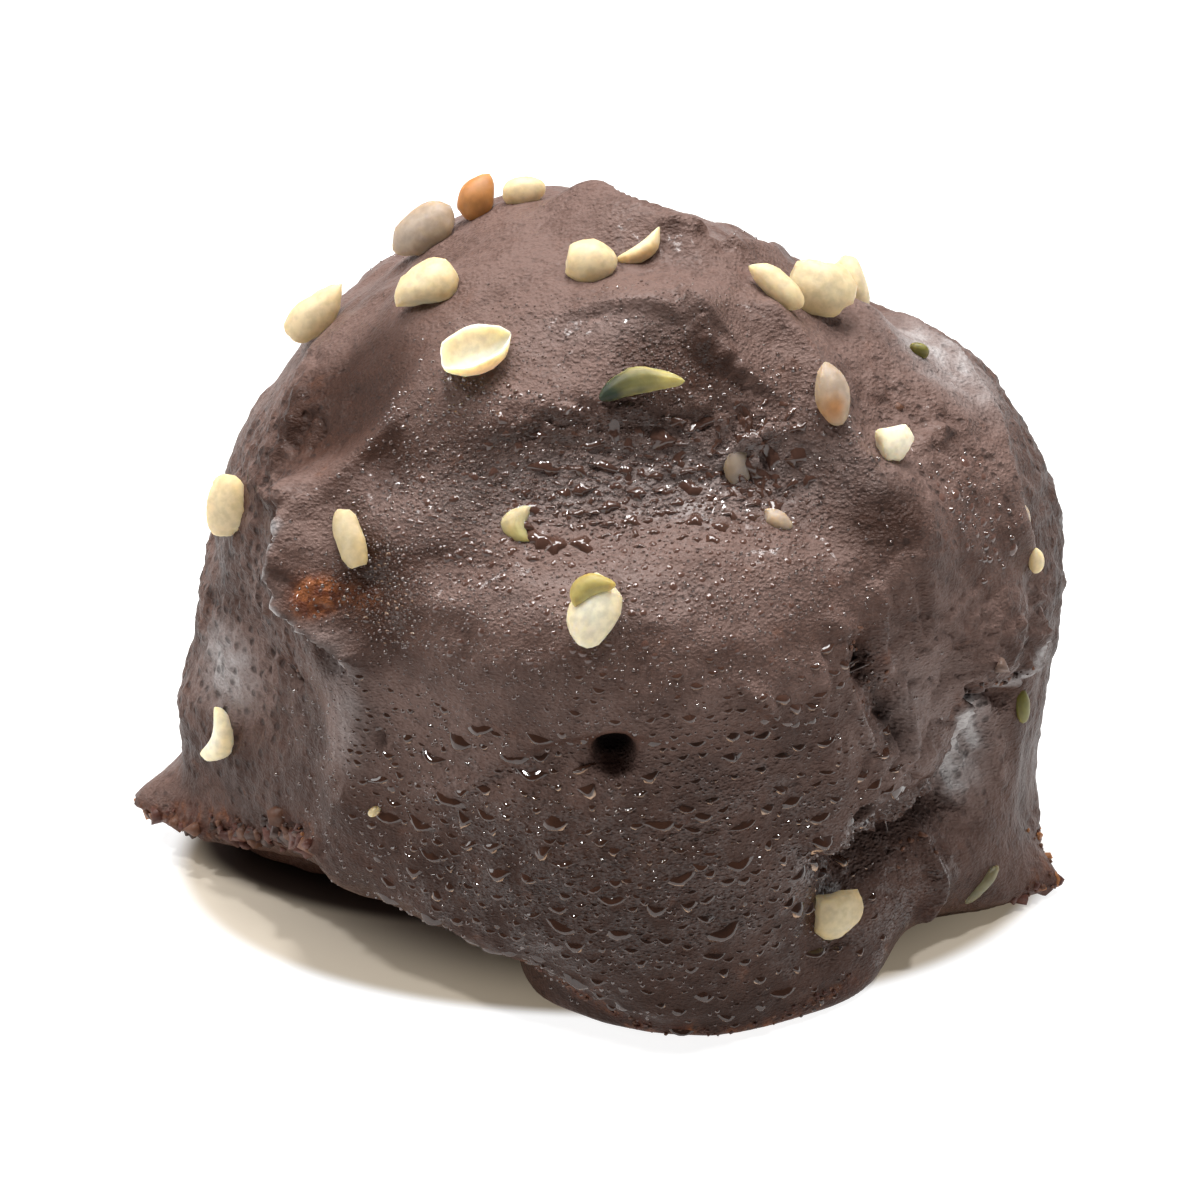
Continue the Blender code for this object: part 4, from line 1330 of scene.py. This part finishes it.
def far_seed(chance):
    """A random shape for a seed."""
    cuts = [(chance.uniform(0, 360), chance.uniform(0.6, 1.0))] if chance.random() < 0.5 else []
    return dict(size=(chance.uniform(2.4, 3.1), chance.uniform(1.4, 2.2), chance.uniform(0.6, 0.85)),
                turn=chance.uniform(0, 360), point=chance.uniform(0.3, 1.0), bend=chance.uniform(-0.4, 0.4),
                cuts=cuts, under=0.6, sink=0.35, tone=chance.choice(FAR_TONES))


def hidden(azimuth, elevation):
    """Whether a seed lying there would be out of the camera's sight."""
    point, normal, _, _ = landing(azimuth, elevation)
    return skin.ray_cast(point + normal * FAR_SEED_HEIGHT, VIEW)[0] is not None


apart = Spacing()
for _ in range(FAR_SEED_TRIES):
    where = (chance.uniform(*FAR_AZIMUTHS), math.degrees(math.asin(chance.uniform(*FAR_HEIGHTS))))
    if hidden(*where) and apart.free(where, FAR_SEED_GAP):
        add_seed(seeds, at=where, chance=chance, **far_seed(chance))
seeds = seeds.build("seeds", seed_flesh())

# %% [markdown]
# ## Crumbs
# Where the coat broke, at the lip, at the toes and in small craters, crumbs of the filling stick out.
# A crumb is the convex hull of a few random points, so each has its own flat faces and corners.

# %% Crumbs
RED_BROWN = (0.085, 0.028, 0.018)
EARTH = (0.13, 0.055, 0.030)
ORANGE = (0.36, 0.14, 0.045)
COCOA = (0.050, 0.026, 0.019)
GREY_BROWN = (0.16, 0.10, 0.075)
# path, spread in degrees, count, radius in mm, tones
CRUMB_PLACES = {
    "lip_tip": ([(-93, -28), (-86, -28)], 1.4, 14, (0.14, 0.50), (RED_BROWN, EARTH, ORANGE)),
    "lip": ([(-88, -29), (-76, -29), (-66, -28)], 1.6, 50, (0.12, 0.55), (RED_BROWN, EARTH, COCOA)),
    "lip_corner": ([(-66, -27.5), (-57, -23.5), (-49, -21.5)], 2.4, 56, (0.14, 0.65),
                   (RED_BROWN, EARTH, COCOA)),
    "lip_bright": ([(-56, -22.5), (-53, -22)], 0.8, 8, (0.15, 0.30), (ORANGE,)),
    "right_toe": ([(72, -32), (78, -30), (85, -29)], 1.6, 40, (0.10, 0.40), (RED_BROWN, EARTH, ORANGE)),
    "toe": ([(-12, -34), (5, -35.5), (20, -35), (38, -33)], 0.7, 80, (0.05, 0.16), (RED_BROWN, EARTH)),
    "crater": ([(-58, 3), (-54, 2.5)], 0.8, 9, (0.10, 0.24), (EARTH, COCOA)),
    "groove": ([(39, 17), (42, 10), (45, 2)], 1.4, 26, (0.08, 0.22), (EARTH, COCOA)),
    "slope": ([(69, 41), (70, 41)], 0.1, 1, (0.36, 0.37), (EARTH,)),
    "right_nose_blob": ([(62, 5), (62, 5)], 0.1, 1, (0.42, 0.43), (GREY_BROWN,)),
    "stained_egg": ([(52, 48), (53, 46)], 0.5, 8, (0.10, 0.2), (ORANGE, EARTH)),
    "right_nose": ([(60, 2), (68, -2), (75, -3)], 1.2, 26, (0.07, 0.2), (COCOA, EARTH)),
    "small": ([(-36, -11), (-35, -11)], 0.3, 3, (0.1, 0.18), (ORANGE, EARTH)),
    "cave": ([(34, -14), (45, -20), (58, -22)], 2.5, 40, (0.08, 0.25), (COCOA, EARTH)),
    "back_lip": ([(-150, -30), (-118, -30)], 1.5, 40, (0.08, 0.28), (RED_BROWN, EARTH)),
    "back": ([(150, 10), (170, -5)], 9, 16, (0.08, 0.25), (EARTH, COCOA)),
}
CRUMB_CORNERS = 13
CRUMB_GRAIN = 0.12 * MM
CRUMB_SKEW = 1.8


def add_crumb(pile, where, radius, tone, chance):
    point, normal, _, _ = landing(*where)
    shape = bmesh.new()
    for _ in range(CRUMB_CORNERS):
        way = Vector([chance.gauss(0, 1) for _ in range(3)]).normalized()
        shape.verts.new(way * radius * chance.uniform(0.7, 1.15))
    made = bmesh.ops.convex_hull(shape, input=shape.verts)
    bmesh.ops.delete(shape, geom=list(set(made["geom_interior"])), context="VERTS")
    shape.verts.index_update()
    centre = point + normal * radius * chance.uniform(-0.4, 0.3)
    points = [centre + corner.co for corner in shape.verts]
    faces = [[corner.index for corner in face.verts] for face in shape.faces]
    shape.free()
    shade = chance.uniform(0.75, 1.25)
    pile.add(points, faces, tone=[(*(value * shade for value in tone), 1.0)] * len(points))


def crumb_matter():
    start, finish = new_material("filling_crumb")
    place = start.node("ShaderNodeTexCoord", output="Object")
    tone = start.node("ShaderNodeAttribute", {"attribute_name": "tone"}, output="Color")
    rough = start.node("ShaderNodeTexNoise", None,
                       {"Vector": place, "Scale": 1 / CRUMB_GRAIN, "Detail": 3.0}, "Fac")
    bump = start.node("ShaderNodeBump", None, {"Height": rough, "Strength": 0.6, "Distance": 0.05 * MM})
    return finish(Base_Color=tone, Roughness=0.5, Specular_IOR_Level=0.35, Normal=bump)


chance = random.Random(33)
crumbs = Pile("tone")
for path, spread, count, (small, large), tones in CRUMB_PLACES.values():
    for _ in range(count):
        place = chance.uniform(0, len(path) - 1.001)
        start, end, share = path[int(place)], path[int(place) + 1], place % 1
        where = [first + (last - first) * share + chance.gauss(0, spread / 2)
                 for first, last in zip(start, end)]
        radius = (small + (large - small) * chance.random() ** CRUMB_SKEW) * MM
        add_crumb(crumbs, where, radius, chance.choice(tones), chance)
crumbs = crumbs.build("crumbs", crumb_matter())

# %% [markdown]
# ## Pieces on the body
# Every piece rides on the one body, and the coat stands in for the imported solid. The list of pieces
# also names each one's look: chocolate, seed, crumb and dew, but nothing here gives a piece that name.

# %% Pieces on the body
PIECES = ((coat, "chocolate"), (seeds, "seed"), (crumbs, "crumb"), (drops, "dew"), (beads, "dew"))
for piece, slot in PIECES:
    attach(piece, "root")
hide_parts("truffle")


def whole_box():
    corners = np.vstack([read(piece.data, "co") for piece, _ in PIECES])
    return corners.min(axis=0), corners.max(axis=0)


low, high = whole_box()
({"cad": [[float(v) for v in cad_low], [float(v) for v in cad_high]],
           "visual": [[float(v) for v in low], [float(v) for v in high]]})
past = [*(low - np.array(cad_low)), *(high - np.array(cad_high))]
print("past the CAD box in mm", [round(float(value) / MM, 2) for value in past])
